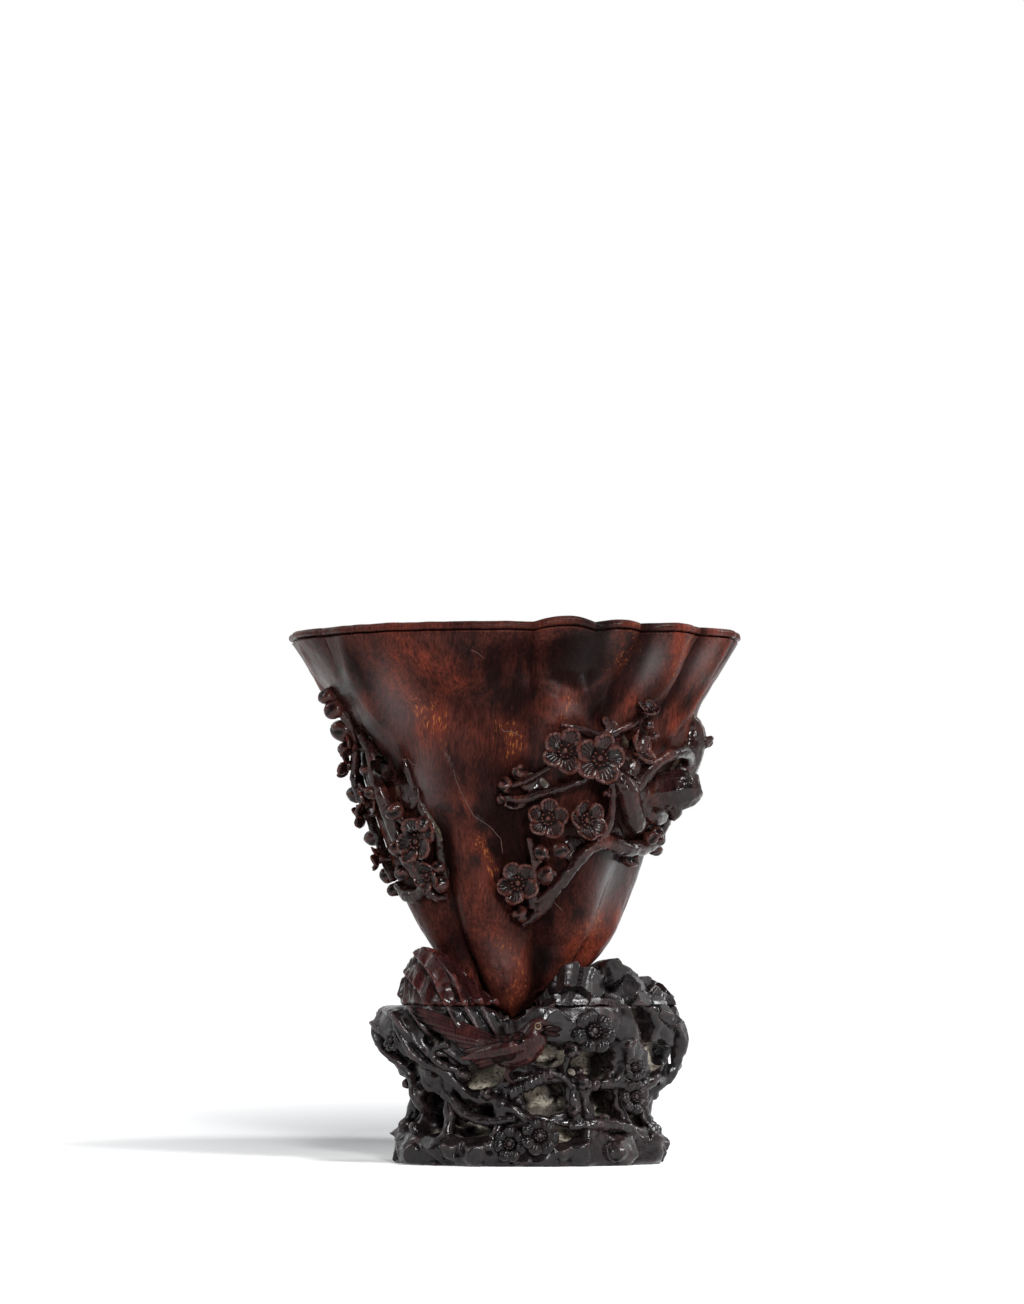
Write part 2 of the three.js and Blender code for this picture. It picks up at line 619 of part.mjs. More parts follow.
// Limbs of the cup: each stop is [azimuth, height, stand-off, thickness].
const CUP_SPRAYS = {
  front_limb: {
    limbs: [
      [[4, 25, 1.5, 2.2], [12, 29, 2, 3], [17, 34, 3, 3.2], [24, 41, 3.5, 3.4], [29, 46, 4, 4],
        [36, 48, 4.5, 4.4], [48, 46.5, 4, 4.4], [64, 47, 3, 4.6], [82, 50, 2.5, 4.6]],
      [[9, 31.5, 3, 2], [16, 35, 4, 2.4], [22, 40, 4, 2.6]],
      [[31, 69, 7.5, 2.2], [33, 62, 7, 2.4], [35, 55, 6, 2.6], [33, 47, 4, 3.2]],
    ],
    buds: [[60, 43.4, 2.5, 4.4], [64, 49.6, 4.5, 4.2], [31, 66, 8.5, 5.6]],
  },
  front_twig: {
    limbs: [
      [[-6, 60, 1, 2.4], [2, 59.4, 2.4, 2.6], [10, 61, 3.4, 2.4], [20, 63.6, 5, 2.4], [28, 67.4, 5.5, 2]],
      [[-4, 62.6, 3, 1.8], [4, 64.6, 2.8, 1.8], [12, 68, 2, 1.8]],
    ],
    buds: [[-4, 63.2, 3.4, 4.4], [1, 66.8, 3.4, 4.4]],
  },
  front_bud_stem: {
    limbs: [
      [[5, 49, 5, 1.8], [7, 43, 5.5, 2], [7, 38, 5.5, 2], [8, 30, 2.4, 2]],
    ],
    buds: [[10, 44.8, 6.8, 4.6], [17, 45.6, 6.4, 5], [13, 39, 5, 5.4]],
  },
  drooping_spur: {
    limbs: [
      [[35, 65, 6, 5], [38, 61.6, 8, 6.2], [41, 57.6, 8.4, 5.8], [45, 52.6, 7.6, 4.6]],
      [[38, 63, 5, 5], [47, 62, 3, 6], [56, 61, 1.5, 6]],
    ],
  },
  arching_limb: {
    limbs: [
      [[41, 63, 6, 4], [45, 65.6, 6, 4], [50, 69.6, 6.4, 3.8], [57, 72.4, 7, 3.6], [68, 72.6, 5.4, 3.6],
        [84, 70.6, 2.6, 4]],
      [[80, 84, -2, 5], [84, 79, -0.6, 8.4], [85, 73, 0.6, 10.6], [84, 67, 1.6, 10.6], [80, 60, 1.4, 8]],
    ],
    buds: [[86, 76.6, 4.6, 3.4]],
  },
  hollow_stump: {
    limbs: [
      [[56, 60.5, -1, 11], [60, 61.5, 4, 12.2], [62, 62.4, 9, 11.4], [64.5, 63, 13, 9]],
      [[62, 59, 8, 5], [63, 56.6, 8, 3.8], [63, 54.6, 7.6, 2]],
    ],
  },
  top_ridge_twig: {
    limbs: [
      [[14, 79.4, 0.4, 2.4], [22, 78, 1.2, 2.6], [30, 76.8, 1.6, 2.6], [38, 79, 1.6, 2.4], [46, 83, 1, 2]],
    ],
  },
  left_limb: {
    limbs: [
      [[-66, 78, 1.6, 3], [-61, 72, 2.2, 3.6], [-60, 66, 2.4, 3.8], [-58, 59, 2.2, 4], [-57, 52, 2, 4],
        [-54, 43, 2, 4.2], [-50, 36, 1.6, 4.4], [-62, 33.6, 1.4, 3.4], [-76, 37, 1.2, 2.6]],
      [[-50, 36, 1.4, 4], [-44, 33, 1.4, 3], [-38, 33.4, 1.2, 2.4]],
    ],
    buds: [[-52, 56.6, 3.2, 5], [-38, 36.6, 2.2, 4.6], [-40, 52.6, 2.4, 4.8], [-55, 46.4, 4, 4.6]],
  },
  left_outer_twig: {
    limbs: [
      [[-73, 91, 1, 2.2], [-71, 84, 1.4, 2.6], [-73, 77, 1.8, 2.8], [-82, 70, 1.8, 3], [-88, 61, 1.8, 3],
        [-88, 52, 1.8, 3], [-86, 44, 1.6, 3], [-80, 38, 1.4, 2.6]],
    ],
    buds: [[-73, 88.6, 2.4, 5], [-72, 83, 3, 6], [-84, 69.6, 3, 6], [-88, 54, 3, 5.4], [-90, 46, 2.8, 5.6]],
  },
  left_ground_rim: {
    limbs: [
      [[-42, 70, 0, 2.6], [-43, 62, 0, 2.6], [-40, 55.6, 0, 2.6], [-36, 50, 0, 2.6], [-36, 43, 0, 2.6],
        [-37, 38, 0, 2.4]],
    ],
  },
  back_limb: {
    limbs: [
      [[93, 51, 2.4, 4.6], [108, 54, 2.4, 4.8], [124, 53, 2.4, 4.8], [140, 50, 2.2, 4.4], [154, 52, 2.2, 4],
        [162, 60, 2.4, 3.4], [165, 68, 2.6, 2.8]],
    ],
    buds: [[112, 58, 2.6, 5], [156, 58, 3, 5]],
  },
  back_twig: {
    limbs: [
      [[252, 44, 2, 3.6], [236, 46, 2.2, 3.4], [222, 46, 2.2, 3.2], [205, 44, 2, 2.6], [196, 48, 1.8, 2]],
    ],
    buds: [[236, 49, 3.2, 5], [196, 50, 2.4, 5]],
  },
};

// Flowers and twigs of the stand's lower block.
const STAND_BLOSSOMS = {
  stand_blossom_beak: { at: [24, 36.6, 2.8], wide: 10, face: [20, 18], cup: 0.4, petals: 7, neck: 5 },
  stand_blossom_left: { at: [-62, 34, 1.4], wide: 6, face: [-50, 10], cup: 0.4, petals: 6 },
  stand_blossom_right_upper: { at: [47, 26.6, 2.4], wide: 6.4, face: [40, 12], cup: 0.4, petals: 6 },
  stand_blossom_right: { at: [52, 18.6, 3], wide: 8.6, face: [42, 4], cup: 0.4, petals: 7, neck: 5 },
  stand_blossom_base_right: { at: [4, 8.4, 3.4], wide: 10.4, face: [6, 14], cup: 0.36, petals: 7, neck: 6 },
  stand_blossom_base_left: { at: [-8, 6.2, 2.6], wide: 9.4, face: [-12, 6], cup: 0.36, petals: 7, neck: 6 },
  stand_blossom_back: { at: [190, 24, 2.4], wide: 10, face: [190, 8], cup: 0.36, petals: 7, neck: 5 },
};
const STAND_SPRAYS = {
  stand_twig: {
    limbs: [
      [[18, 11, 1, 3.2], [28, 11.4, 2, 3], [40, 11, 2.2, 3.2], [52, 9.4, 1, 3.4]],
      [[20, 22, 2, 2.6], [21, 17, 2.4, 3], [22, 11.4, 1.6, 3.2]],
      [[21, 21, 2, 2.4], [12, 25, 2.6, 2.2], [-2, 24, 2.4, 2.2], [-12, 22, 1, 2.6]],
    ],
    buds: [[21, 22.6, 3.4, 4.6], [20, 15, 3.2, 4]],
  },
  stand_left_twig: {
    limbs: [
      [[-34, 33, 0.6, 2.2], [-42, 31, 1.4, 2.2], [-36, 26, 1.4, 2.2], [-28, 24, 0.8, 2.2]],
      [[-44, 20, 0, 3.4], [-30, 14, 2, 3], [-18, 12, 2.6, 2.6], [-6, 13, 2.4, 2.4]],
    ],
    buds: [[-31, 25, 1.6, 4.6], [-20, 19.6, 1.4, 4.2]],
  },
  stand_back_twig: {
    limbs: [
      [[222, 9, 0.8, 3.4], [206, 14, 1.6, 3], [192, 18, 1.8, 2.8], [176, 16, 1.4, 2.4], [160, 20, 0.8, 2]],
    ],
    buds: [[206, 17, 2.2, 4.4]],
  },
};

// The bird: stops of [x, height, stand-off from the stand's front, thickness].
const BIRD_BODY = [
  [-15, 34.8, 1, 2], [-10.5, 33.4, 1.6, 6.4], [-5, 32, 2.2, 10], [-0.6, 32.6, 2.4, 9.6],
  [1.6, 36, 2.6, 7], [3, 38.2, 2.8, 5], [5, 38, 3, 3.2], [8.6, 37, 3, 0.9],
];
const BIRD_WING = [[-1, 34, 5.6, 4.6], [-6, 33, 6.2, 5.4], [-12, 31, 5, 3.8], [-18, 29.4, 3, 1.2]];
const BIRD_TAIL = [
  [[-12, 34.4, 1.6, 3.2], [-20, 37.6, 1.4, 3], [-31, 42, 0.6, 1.6]],
  [[-12, 33.8, 1.6, 3], [-20, 35.4, 1.4, 3.2], [-29, 38.6, 0.4, 1.6]],
  [[-12, 33.2, 1.4, 2.6], [-19, 33.4, 1.2, 2.8], [-26, 35, 0.2, 1.4]],
];
const BIRD_LEG = [[-3, 28, 2.2, 2.4], [-5.6, 25, 2, 1.8], [-3.6, 22, 1, 1.8]];

// A place in front of the block at a distance left or right of its middle.
function onFront([x, height, lift]) {
  const azimuth = (Math.asin((x - STAND_CENTRE_X) / BLOCK_TOP_HALF_WIDTH) * 180) / Math.PI;
  const skin = onBlock([azimuth, height, 0]);
  return new THREE.Vector3(x, skin.y - lift, height);
}

function birdSolid(grow = 0) {
  const part = (route) => {
    const stops = route.map((stop) => ({ at: onFront(stop), thick: stop[3] }));
    return limbSolid(stops, grow);
  };
  return joined([part(BIRD_BODY), part(BIRD_WING), ...BIRD_TAIL.map(part), part(BIRD_LEG)]);
}

// Hollows of the block: azimuth, height, width, height of the mouth, depth.
const BLOCK_HOLLOWS = [
  { at: -54, height: 14, wide: 12, tall: 11, deep: 13 },
  { at: -28, height: 13, wide: 13, tall: 10.6, deep: 13 },
  { at: -22, height: 24.6, wide: 18, tall: 8, deep: 10 },
  { at: 8, height: 18.6, wide: 12.6, tall: 10.4, deep: 12 },
  { at: 8, height: 30.4, wide: 12, tall: 7, deep: 9 },
  { at: 29, height: 28.4, wide: 14, tall: 12, deep: 11 },
  { at: 35, height: 16, wide: 14, tall: 11.4, deep: 12 },
  { at: 17, height: 8.2, wide: 12, tall: 5, deep: 9 },
  { at: 52, height: 38, wide: 16, tall: 7, deep: 10 },
  { at: 63, height: 14, wide: 8, tall: 8, deep: 15 },
  { at: 88, height: 31, wide: 13, tall: 12, deep: 10 },
  { at: 108, height: 17, wide: 14, tall: 12, deep: 12 },
  { at: 142, height: 13, wide: 13, tall: 9.6, deep: 10 },
  { at: 148, height: 31, wide: 16, tall: 11, deep: 11 },
  { at: 184, height: 33.6, wide: 15, tall: 9, deep: 10 },
  { at: 216, height: 23, wide: 14, tall: 12.6, deep: 11 },
  { at: 242, height: 34.4, wide: 15, tall: 9, deep: 10 },
  { at: 254, height: 15.4, wide: 14, tall: 11, deep: 11 },
  { at: -84, height: 28, wide: 12, tall: 12, deep: 9 },
];

function hollowSolid(hollow, grow) {
  const geometry = new THREE.SphereGeometry(0.5, 7, 4);
  geometry.scale(hollow.wide - 2 * grow, 2 * (hollow.deep - grow), hollow.tall - 2 * grow);
  const mouth = onBlock([hollow.at, hollow.height, 0]);
  const outward = mouth.clone().setZ(0).sub(new THREE.Vector3(STAND_CENTRE_X, 0, 0));
  geometry.rotateZ(Math.atan2(outward.x, -outward.y));
  geometry.translate(mouth.x, mouth.y, mouth.z);
  return solid(geometry);
}

// The groove in the block's front edge that shows the tip of the cup's front root.
function notchSolid() {
  const outline = new THREE.Shape();
  outline.moveTo(NOTCH_X - NOTCH_LEFT, SEAM_HEIGHT + 1);
  outline.lineTo(NOTCH_X, NOTCH_FLOOR);
  outline.lineTo(NOTCH_X + NOTCH_RIGHT, SEAM_HEIGHT + 1);
  outline.closePath();
  const reach = BLOCK_TOP_HALF_WIDTH;
  const geometry = new THREE.ExtrudeGeometry(outline, { depth: reach, bevelEnabled: false });
  geometry.rotateX(Math.PI / 2);
  return solid(geometry);
}

// The block, or a grown copy of it that the carvings on its face are cut to fit.
function blockSolid(grow, cutters) {
  const rise = (share) => THREE.MathUtils.lerp(BLOCK_WAIST_HEIGHT, SEAM_HEIGHT, share);
  const heights = [
    0, BASE_THICKNESS * 0.4, BASE_THICKNESS, (BASE_THICKNESS + BLOCK_WAIST_HEIGHT) / 2, BLOCK_WAIST_HEIGHT,
    rise(0.18), rise(0.35), rise(0.53), rise(0.7), rise(0.85), SEAM_HEIGHT,
  ];
  const rings = [
    { axis: true, height: 0 },
    ...heights.map((height) => ({ height })),
    { axis: true, height: SEAM_HEIGHT },
  ];
  const place = (azimuth, ring) => ring.axis
    ? new THREE.Vector3(STAND_CENTRE_X, 0, ring.height)
    : onBlock([azimuth, ring.height, grow]);
  const body = turned(rings, place, BLOCK_SIDES);
  return cutBy(body, [...BLOCK_HOLLOWS.map((hollow) => hollowSolid(hollow, grow)), ...cutters]);
}

// Crags: stops of [azimuth, crest's distance from the middle, its rise over the seam, foot's distance].
const CRAGS = {
  left_crag: [[-120, 31, 5.5, 37], [-104, 33, 9.5, 37], [-90, 33, 13.5, 35], [-76, 33.4, 13.5, 34],
    [-66, 34, 15.9, 35.4], [-52, 34.8, 16.1, 37], [-43, 35.6, 12.1, 38.4], [-34, 37, 7.5, 40],
    [-24, 38.6, 2.5, 41]],
  right_crag: [[5, 38, 1.3, 41], [11, 37.4, 3.9, 41], [16, 34.8, 10.5, 40.6], [27, 34, 11.9, 40],
    [38, 31, 9.1, 40.6], [49, 30.8, 13.1, 41.4], [58, 30, 11.1, 42], [68, 30, 9.5, 42],
    [80, 31.4, 8.3, 42.2], [92, 33.2, 6.3, 42], [108, 36.6, 3.5, 41]],
  back_crag: [[116, 30, 8.5, 38], [128, 31, 13.5, 37], [142, 30, 10.5, 38], [158, 31, 14.5, 37],
    [174, 30, 17.5, 36], [190, 31, 13.5, 37], [206, 30, 10.5, 38], [222, 31, 12.5, 37], [234, 31, 7.5, 37]],
};
const CRAG_STEP = 6;

// A crag: a ridge of rock swept round the cup's foot, with chiselled faces on its outer side.
function cragSolid(crest, socket) {
  const floor = SEAM_HEIGHT + CLEARANCE;
  const from = crest[0][0];
  const steps = Math.floor((crest[crest.length - 1][0] - from) / CRAG_STEP);
  const along = (column, azimuth) => through(crest.map((stop) => [stop[0], stop[column]]), azimuth);
  const inner = FOOT_HALF_WIDTH * 0.8;
  const points = [];
  for (let i = 0; i <= steps; i += 1) {
    const azimuth = from + i * CRAG_STEP;
    const out = along(1, azimuth);
    const top = SEAM_HEIGHT + along(2, azimuth);
    const foot = along(3, azimuth);
    const chisel = i % 2 === 0 ? 1.2 : -0.8;
    points.push(standPlace(azimuth, inner, floor));
    points.push(standPlace(azimuth, inner, THREE.MathUtils.lerp(floor, top, 0.35)));
    points.push(standPlace(azimuth, out - 4, top - 1.2));
    points.push(standPlace(azimuth, out, top));
    const middle = THREE.MathUtils.lerp(out, foot, 0.6) + chisel;
    points.push(standPlace(azimuth, middle, THREE.MathUtils.lerp(floor, top, 0.5)));
    points.push(standPlace(azimuth, foot, floor));
  }
  const ring = 6;
  const index = [];
  for (let i = 0; i < steps; i += 1) {
    for (let k = 0; k < ring; k += 1) {
      const a = i * ring + k;
      const b = i * ring + ((k + 1) % ring);
      index.push(a, b, a + ring, b, b + ring, a + ring);
    }
  }
  for (let k = 1; k < ring - 1; k += 1) {
    index.push(0, k + 1, k, steps * ring, steps * ring + k, steps * ring + k + 1);
  }
  const geometry = new THREE.BufferGeometry().setFromPoints(points);
  geometry.setIndex(index);
  return cutBy(solid(geometry), [socket]);
}

// The cup's pieces: the wall, the flowers cut to the wall, the limbs cut to both.
function buildCup() {
  const cup = new THREE.Group();
  cup.position.set(CUP_AXIS_X, 0, CUP_SEAT);
  cup.add(piece("cup_wall", cupWallSolid(), cupWood));
  const wall = wallCutter(CLEARANCE);
  const placed = [];
  for (const [name, flower] of Object.entries(CUP_BLOSSOMS)) {
    cup.add(piece(name, cutBy(blossomSolid(flower, onWall), [wall, ...placed]), sprayWood));
    placed.push(blossomSolid(flower, onWall, CLEARANCE));
  }
  for (const [name, spray] of Object.entries(CUP_SPRAYS)) {
    cup.add(piece(name, cutBy(spraySolid(spray, onWall), [wall, ...placed]), sprayWood));
    placed.push(spraySolid(spray, onWall, CLEARANCE));
  }
  return cup;
}

// The stand's pieces: bird, flowers and twigs are cut to the block's face, the crags sit on its seam.
function buildStand() {
  const stand = new THREE.Group();
  const socket = footSocket(SOCKET_CLEARANCE);
  const face = blockSolid(FACE_CLEARANCE, []);
  const birdRoom = birdSolid(CLEARANCE);
  stand.add(piece("stand_block", blockSolid(0, [socket, notchSolid()]), standWood));
  stand.add(piece("bird", cutBy(birdSolid(), [face]), birdWood));
  const placed = [face, birdRoom];
  for (const [name, flower] of Object.entries(STAND_BLOSSOMS)) {
    stand.add(piece(name, cutBy(blossomSolid(flower, onBlock), placed), standWood));
    placed.push(blossomSolid(flower, onBlock, CLEARANCE));
  }
  for (const [name, spray] of Object.entries(STAND_SPRAYS)) {
    stand.add(piece(name, cutBy(spraySolid(spray, onBlock), placed), standWood));
    placed.push(spraySolid(spray, onBlock, CLEARANCE));
  }
  for (const [name, crest] of Object.entries(CRAGS)) {
    const material = name === "left_crag" ? birdWood : standWood;
    stand.add(piece(name, cutBy(cragSolid(crest, socket), [birdRoom]), material));
  }
  return stand;
}

const group = new THREE.Group();
group.name = "libation_cup";
group.add(buildStand());
group.add(buildCup());

export default group;
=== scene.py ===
"""Aloeswood libation cup, carved with prunus, standing on its pierced rock stand."""
from __future__ import annotations

import logging
import math
from dataclasses import dataclass, field
from enum import Enum
from typing import Callable, Sequence

import bpy
import numpy as np
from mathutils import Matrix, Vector, noise

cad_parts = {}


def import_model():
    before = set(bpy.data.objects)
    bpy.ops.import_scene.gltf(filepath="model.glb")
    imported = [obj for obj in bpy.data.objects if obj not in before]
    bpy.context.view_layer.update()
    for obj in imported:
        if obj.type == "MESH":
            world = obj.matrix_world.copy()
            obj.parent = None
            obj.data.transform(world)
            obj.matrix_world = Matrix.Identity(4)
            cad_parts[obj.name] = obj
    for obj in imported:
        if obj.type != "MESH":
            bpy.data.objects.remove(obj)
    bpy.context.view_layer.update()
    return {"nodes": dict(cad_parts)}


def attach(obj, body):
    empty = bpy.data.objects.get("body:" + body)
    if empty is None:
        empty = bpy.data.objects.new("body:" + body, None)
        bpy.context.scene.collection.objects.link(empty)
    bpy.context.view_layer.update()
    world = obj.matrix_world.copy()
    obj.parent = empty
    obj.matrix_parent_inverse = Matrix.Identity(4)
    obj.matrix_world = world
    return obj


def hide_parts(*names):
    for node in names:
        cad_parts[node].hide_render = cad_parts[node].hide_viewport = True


MM = 0.001
SLOPE_STRETCH = 1.15
log = logging.getLogger("libation_cup")

Array = np.ndarray
Stations = Sequence[tuple[float, float]]
Spot = tuple[float, float, float]
Stop = tuple[float, float, float, float]
Route = Sequence[tuple[float, float]]


class Body(Enum):
    """The two things that come apart by hand."""

    CUP = "cup"
    STAND = "stand"


class Slot(Enum):
    """The woods that the record names."""

    CUP = "cup_wood"
    SPRAY = "cup_spray_wood"
    STAND = "stand_wood"
    BIRD = "bird_wood"


class Cut(Enum):
    """What a carving stroke leaves: a valley, a ridge, or a step down to the right."""

    VALLEY = -1
    RIDGE = 1
    STEP = 0


# Arithmetic shared by the forms


def through(stations: Stations, place: Array | float) -> Array:
    """Reads a smooth line through a few stations.

    Args:
        stations: Pairs of place and value, in rising order of place.
        place: Where to read it.

    Returns:
        The values there.
    """
    x, y = np.array(stations, float).T
    steps = np.diff(y) / np.diff(x)
    slope = np.empty_like(y)
    slope[0], slope[-1] = steps[0], steps[-1]
    slope[1:-1] = (y[2:] - y[:-2]) / (x[2:] - x[:-2])
    inside = np.clip(place, x[0], x[-1])
    i = np.clip(np.searchsorted(x, inside, side="right") - 1, 0, len(x) - 2)
    length = x[i + 1] - x[i]
    t = (inside - x[i]) / length
    near = (1 + 2 * t) * (1 - t) ** 2 * y[i] + t * (1 - t) ** 2 * length * slope[i]
    far = t * t * (3 - 2 * t) * y[i + 1] + t * t * (t - 1) * length * slope[i + 1]
    return near + far


def turn_between(start: Array | float, end: Array | float) -> Array:
    """The turn from one azimuth to another, from -180 to 180 degrees."""
    return (np.asarray(end) - start + 180) % 360 - 180


def bell(distance: Array | float, width: float) -> Array:
    """A bell curve of a given width that is 1 at distance 0."""
    return np.exp(-((np.asarray(distance) / width) ** 2))


def ramp(value: Array | float, low: float, high: float) -> Array:
    """Rises smoothly from 0 at low to 1 at high."""
    t = np.clip((np.asarray(value) - low) / (high - low), 0, 1)
    return t * t * (3 - 2 * t)


def ripple(points: Array, size: float, depth: int = 3, seed: float = 0.0) -> Array:
    """Smooth noise at many points.

    Args:
        points: Places in mm, one a row.
        size: Width of the largest lumps, in mm.
        depth: How many finer layers are added.
        seed: Shifts the pattern, so that two calls differ.

    Returns:
        Values from about -1 to 1.
    """
    at = points / size + seed
    return np.array([noise.fractal(Vector(p), 1.0, 2.0, depth) for p in at])


# Modelling helpers


class Bench:
    """The tools that every piece is modelled with."""

    @staticmethod
    def clear() -> None:
        """Deselects everything."""
        if bpy.context.object and bpy.context.object.mode != "OBJECT":
            bpy.ops.object.mode_set(mode="OBJECT")
        bpy.ops.object.select_all(action="DESELECT")

    @staticmethod
    def pick(*objects: bpy.types.Object) -> bpy.types.Object:
        """Selects some objects, the first of them active.

        Args:
            objects: What to select.

        Returns:
            The first object.
        """
        Bench.clear()
        for thing in objects:
            thing.select_set(True)
        bpy.context.view_layer.objects.active = objects[0]
        return objects[0]

    @staticmethod
    def points(thing: bpy.types.Object) -> Array:
        """Reads an object's points.

        Args:
            thing: The object.

        Returns:
            Their places in mm, one a row.
        """
        flat = np.empty(len(thing.data.vertices) * 3)
        thing.data.vertices.foreach_get("co", flat)
        return flat.reshape(-1, 3) / MM

    @staticmethod
    def normals(thing: bpy.types.Object) -> Array:
        """Reads the outward directions at an object's points.

        Args:
            thing: The object.

        Returns:
            The directions, one a row.
        """
        flat = np.empty(len(thing.data.vertices) * 3)
        thing.data.vertex_normals.foreach_get("vector", flat)
        return flat.reshape(-1, 3)

    @staticmethod
    def move(thing: bpy.types.Object, points: Array) -> None:
        """Moves the object's points to places in mm."""
        thing.data.vertices.foreach_set("co", (points * MM).ravel())
        thing.data.update()

    @staticmethod
    def mark(thing: bpy.types.Object, name: str, values: Array) -> None:
        """Keeps one number a point, which a finish can read by its name.

        Args:
            thing: The object.
            name: The numbers' name.
            values: The numbers.
        """
        old = thing.data.attributes.get(name)
        marks = old or thing.data.attributes.new(name, "FLOAT", "POINT")
        marks.data.foreach_set("value", np.asarray(values, np.float32))

    @staticmethod
    def modify(thing: bpy.types.Object, kind: str, **settings: object) -> None:
        """Adds a modifier and applies it.

        Args:
            thing: The object.
            kind: The modifier's type.
            settings: Its settings.
        """
        Bench.pick(thing)
        modifier = thing.modifiers.new(kind.lower(), kind)
        for key, value in settings.items():
            setattr(modifier, key, value)
        bpy.ops.object.modifier_apply(modifier=modifier.name)

    @staticmethod
    def join(parts: Sequence[bpy.types.Object]) -> bpy.types.Object:
        """Joins several objects into the first one.

        Args:
            parts: The objects.

        Returns:
            The first object.
        """
        first = Bench.pick(*parts)
        if len(parts) > 1:
            bpy.ops.object.join()
        return first

    @staticmethod
    def weld(thing: bpy.types.Object, gap: float = 0.004) -> None:
        """Merges points that lie close together, and turns all faces outwards.

        Args:
            thing: The object.
            gap: How close, in mm.
        """
        Bench.pick(thing)
        bpy.ops.object.mode_set(mode="EDIT")
        bpy.ops.mesh.select_all(action="SELECT")
        bpy.ops.mesh.remove_doubles(threshold=gap * MM)
        bpy.ops.mesh.normals_make_consistent(inside=False)
        bpy.ops.object.mode_set(mode="OBJECT")

    @staticmethod
    def skin(thing: bpy.types.Object, voxel: float, rounds: int, ease: float = 0.5) -> None:
        """Melts an object's overlapping parts into one skin and softens it.

        Args:
            thing: The object.
            voxel: Size of the skin's faces in mm.
            rounds: How many times it is softened.
            ease: How far each softening goes, from 0 to 1.
        """
        Bench.modify(thing, "REMESH", mode="VOXEL", voxel_size=voxel * MM, use_smooth_shade=True)
        if rounds:
            Bench.modify(thing, "SMOOTH", factor=ease, iterations=rounds)

    @staticmethod
    def smooth(thing: bpy.types.Object, angle: float | None = None) -> None:
        """Shades an object smooth.

        Args:
            thing: The object.
            angle: Edges sharper than this, in degrees, stay crisp. None if left out.
        """
        Bench.pick(thing)
        if angle is None:
            bpy.ops.object.shade_smooth()
        else:
            bpy.ops.object.shade_smooth_by_angle(angle=math.radians(angle))

    @staticmethod
    def polish(thing: bpy.types.Object, spread: int, gain: float, angle: float | None = None) -> None:
        """Shades an object smooth and marks its relief."""
        Bench.smooth(thing, angle)
        Bench.relief(thing, spread, gain)

    @staticmethod
    def copy_of(source: bpy.types.Object, name: str) -> bpy.types.Object:
        """Copies an object with its own mesh.

        Args:
            source: The object.
            name: The copy's name.

        Returns:
            The copy.
        """
        twin = bpy.data.objects.new(name, source.data.copy())
        bpy.context.scene.collection.objects.link(twin)
        return twin

    @staticmethod
    def sheet(columns: int, rows: int) -> tuple[bpy.types.Object, Array, Array]:
        """Adds a flat grid that is to be rolled into a turned form.

        Args:
            columns: Faces round the form.
            rows: Faces along its profile.

        Returns:
            The object, and where each point lies across and along it, from 0 to 1.
        """
        Bench.clear()
        bpy.ops.mesh.primitive_grid_add(x_subdivisions=columns, y_subdivisions=rows, size=1)
        grid = bpy.context.object
        flat = Bench.points(grid) * MM + 0.5
        return grid, flat[:, 0], flat[:, 1]

    @staticmethod
    def tube(stops: Sequence[tuple[Vector, float]], sides: int = 10) -> bpy.types.Object:
        """A limb along a smooth path.

        Args:
            stops: Places in mm along the path, each with the limb's thickness there.
            sides: Faces round the limb, an even number.

        Returns:
            The limb as a mesh.
        """
        Bench.clear()
        bpy.ops.curve.primitive_bezier_curve_add()
        path = bpy.context.object
        spline = path.data.splines[0]
        spline.bezier_points.add(len(stops) - 2)
        for point, (at, thick) in zip(spline.bezier_points, stops):
            point.co = Vector(at) * MM
            point.radius = thick / 2
            point.handle_left_type = point.handle_right_type = "AUTO"
        path.data.bevel_depth = MM
        path.data.bevel_resolution = max(0, sides // 2 - 2)
        path.data.resolution_u = 6
        path.data.use_fill_caps = True
        bpy.ops.object.convert(target="MESH")
        return bpy.context.object

    @staticmethod
    def ball(at: Vector, size: Spot, finer: int = 3, face: Vector | None = None) -> bpy.types.Object:
        """A rounded lump.

        Args:
            at: Its middle in mm.
            size: Its three widths in mm.
            finer: How finely its surface is divided.
            face: Where its own +Z points, up if left out.

        Returns:
            The lump as a mesh.
        """
        Bench.clear()
        bpy.ops.mesh.primitive_ico_sphere_add(subdivisions=finer, radius=0.5 * MM)
        lump = bpy.context.object
        Bench.move(lump, turned_to(Bench.points(lump) * np.array(size), at, face))
        return lump

    @staticmethod
    def relief(thing: bpy.types.Object, spread: int, gain: float) -> None:
        """Marks how far each point stands proud of those round it, 0.5 where it is flat.

        Args:
            thing: The object.
            spread: How many rings of neighbours the measure is averaged over.
            gain: How strongly it departs from 0.5.
        """
        points, normals = Bench.points(thing), Bench.normals(thing)
        pairs = np.empty(len(thing.data.edges) * 2, np.int64)
        thing.data.edges.foreach_get("vertices", pairs)
        a, b = pairs[::2], pairs[1::2]
        way = points[b] - points[a]
        length = np.maximum(np.linalg.norm(way, axis=1), 1e-6)
        fall_a = (way * normals[a]).sum(1) / length
        fall_b = -(way * normals[b]).sum(1) / length
        count = np.maximum(np.bincount(a, minlength=len(points)) + np.bincount(b, minlength=len(points)), 1)
        proud = -(np.bincount(a, fall_a, len(points)) + np.bincount(b, fall_b, len(points))) / count
        for _ in range(spread):
            total = np.bincount(a, proud[b], len(points)) + np.bincount(b, proud[a], len(points))
            proud = 0.5 * proud + 0.5 * total / count
        Bench.mark(thing, "relief", np.clip(0.5 + gain * proud, 0, 1))

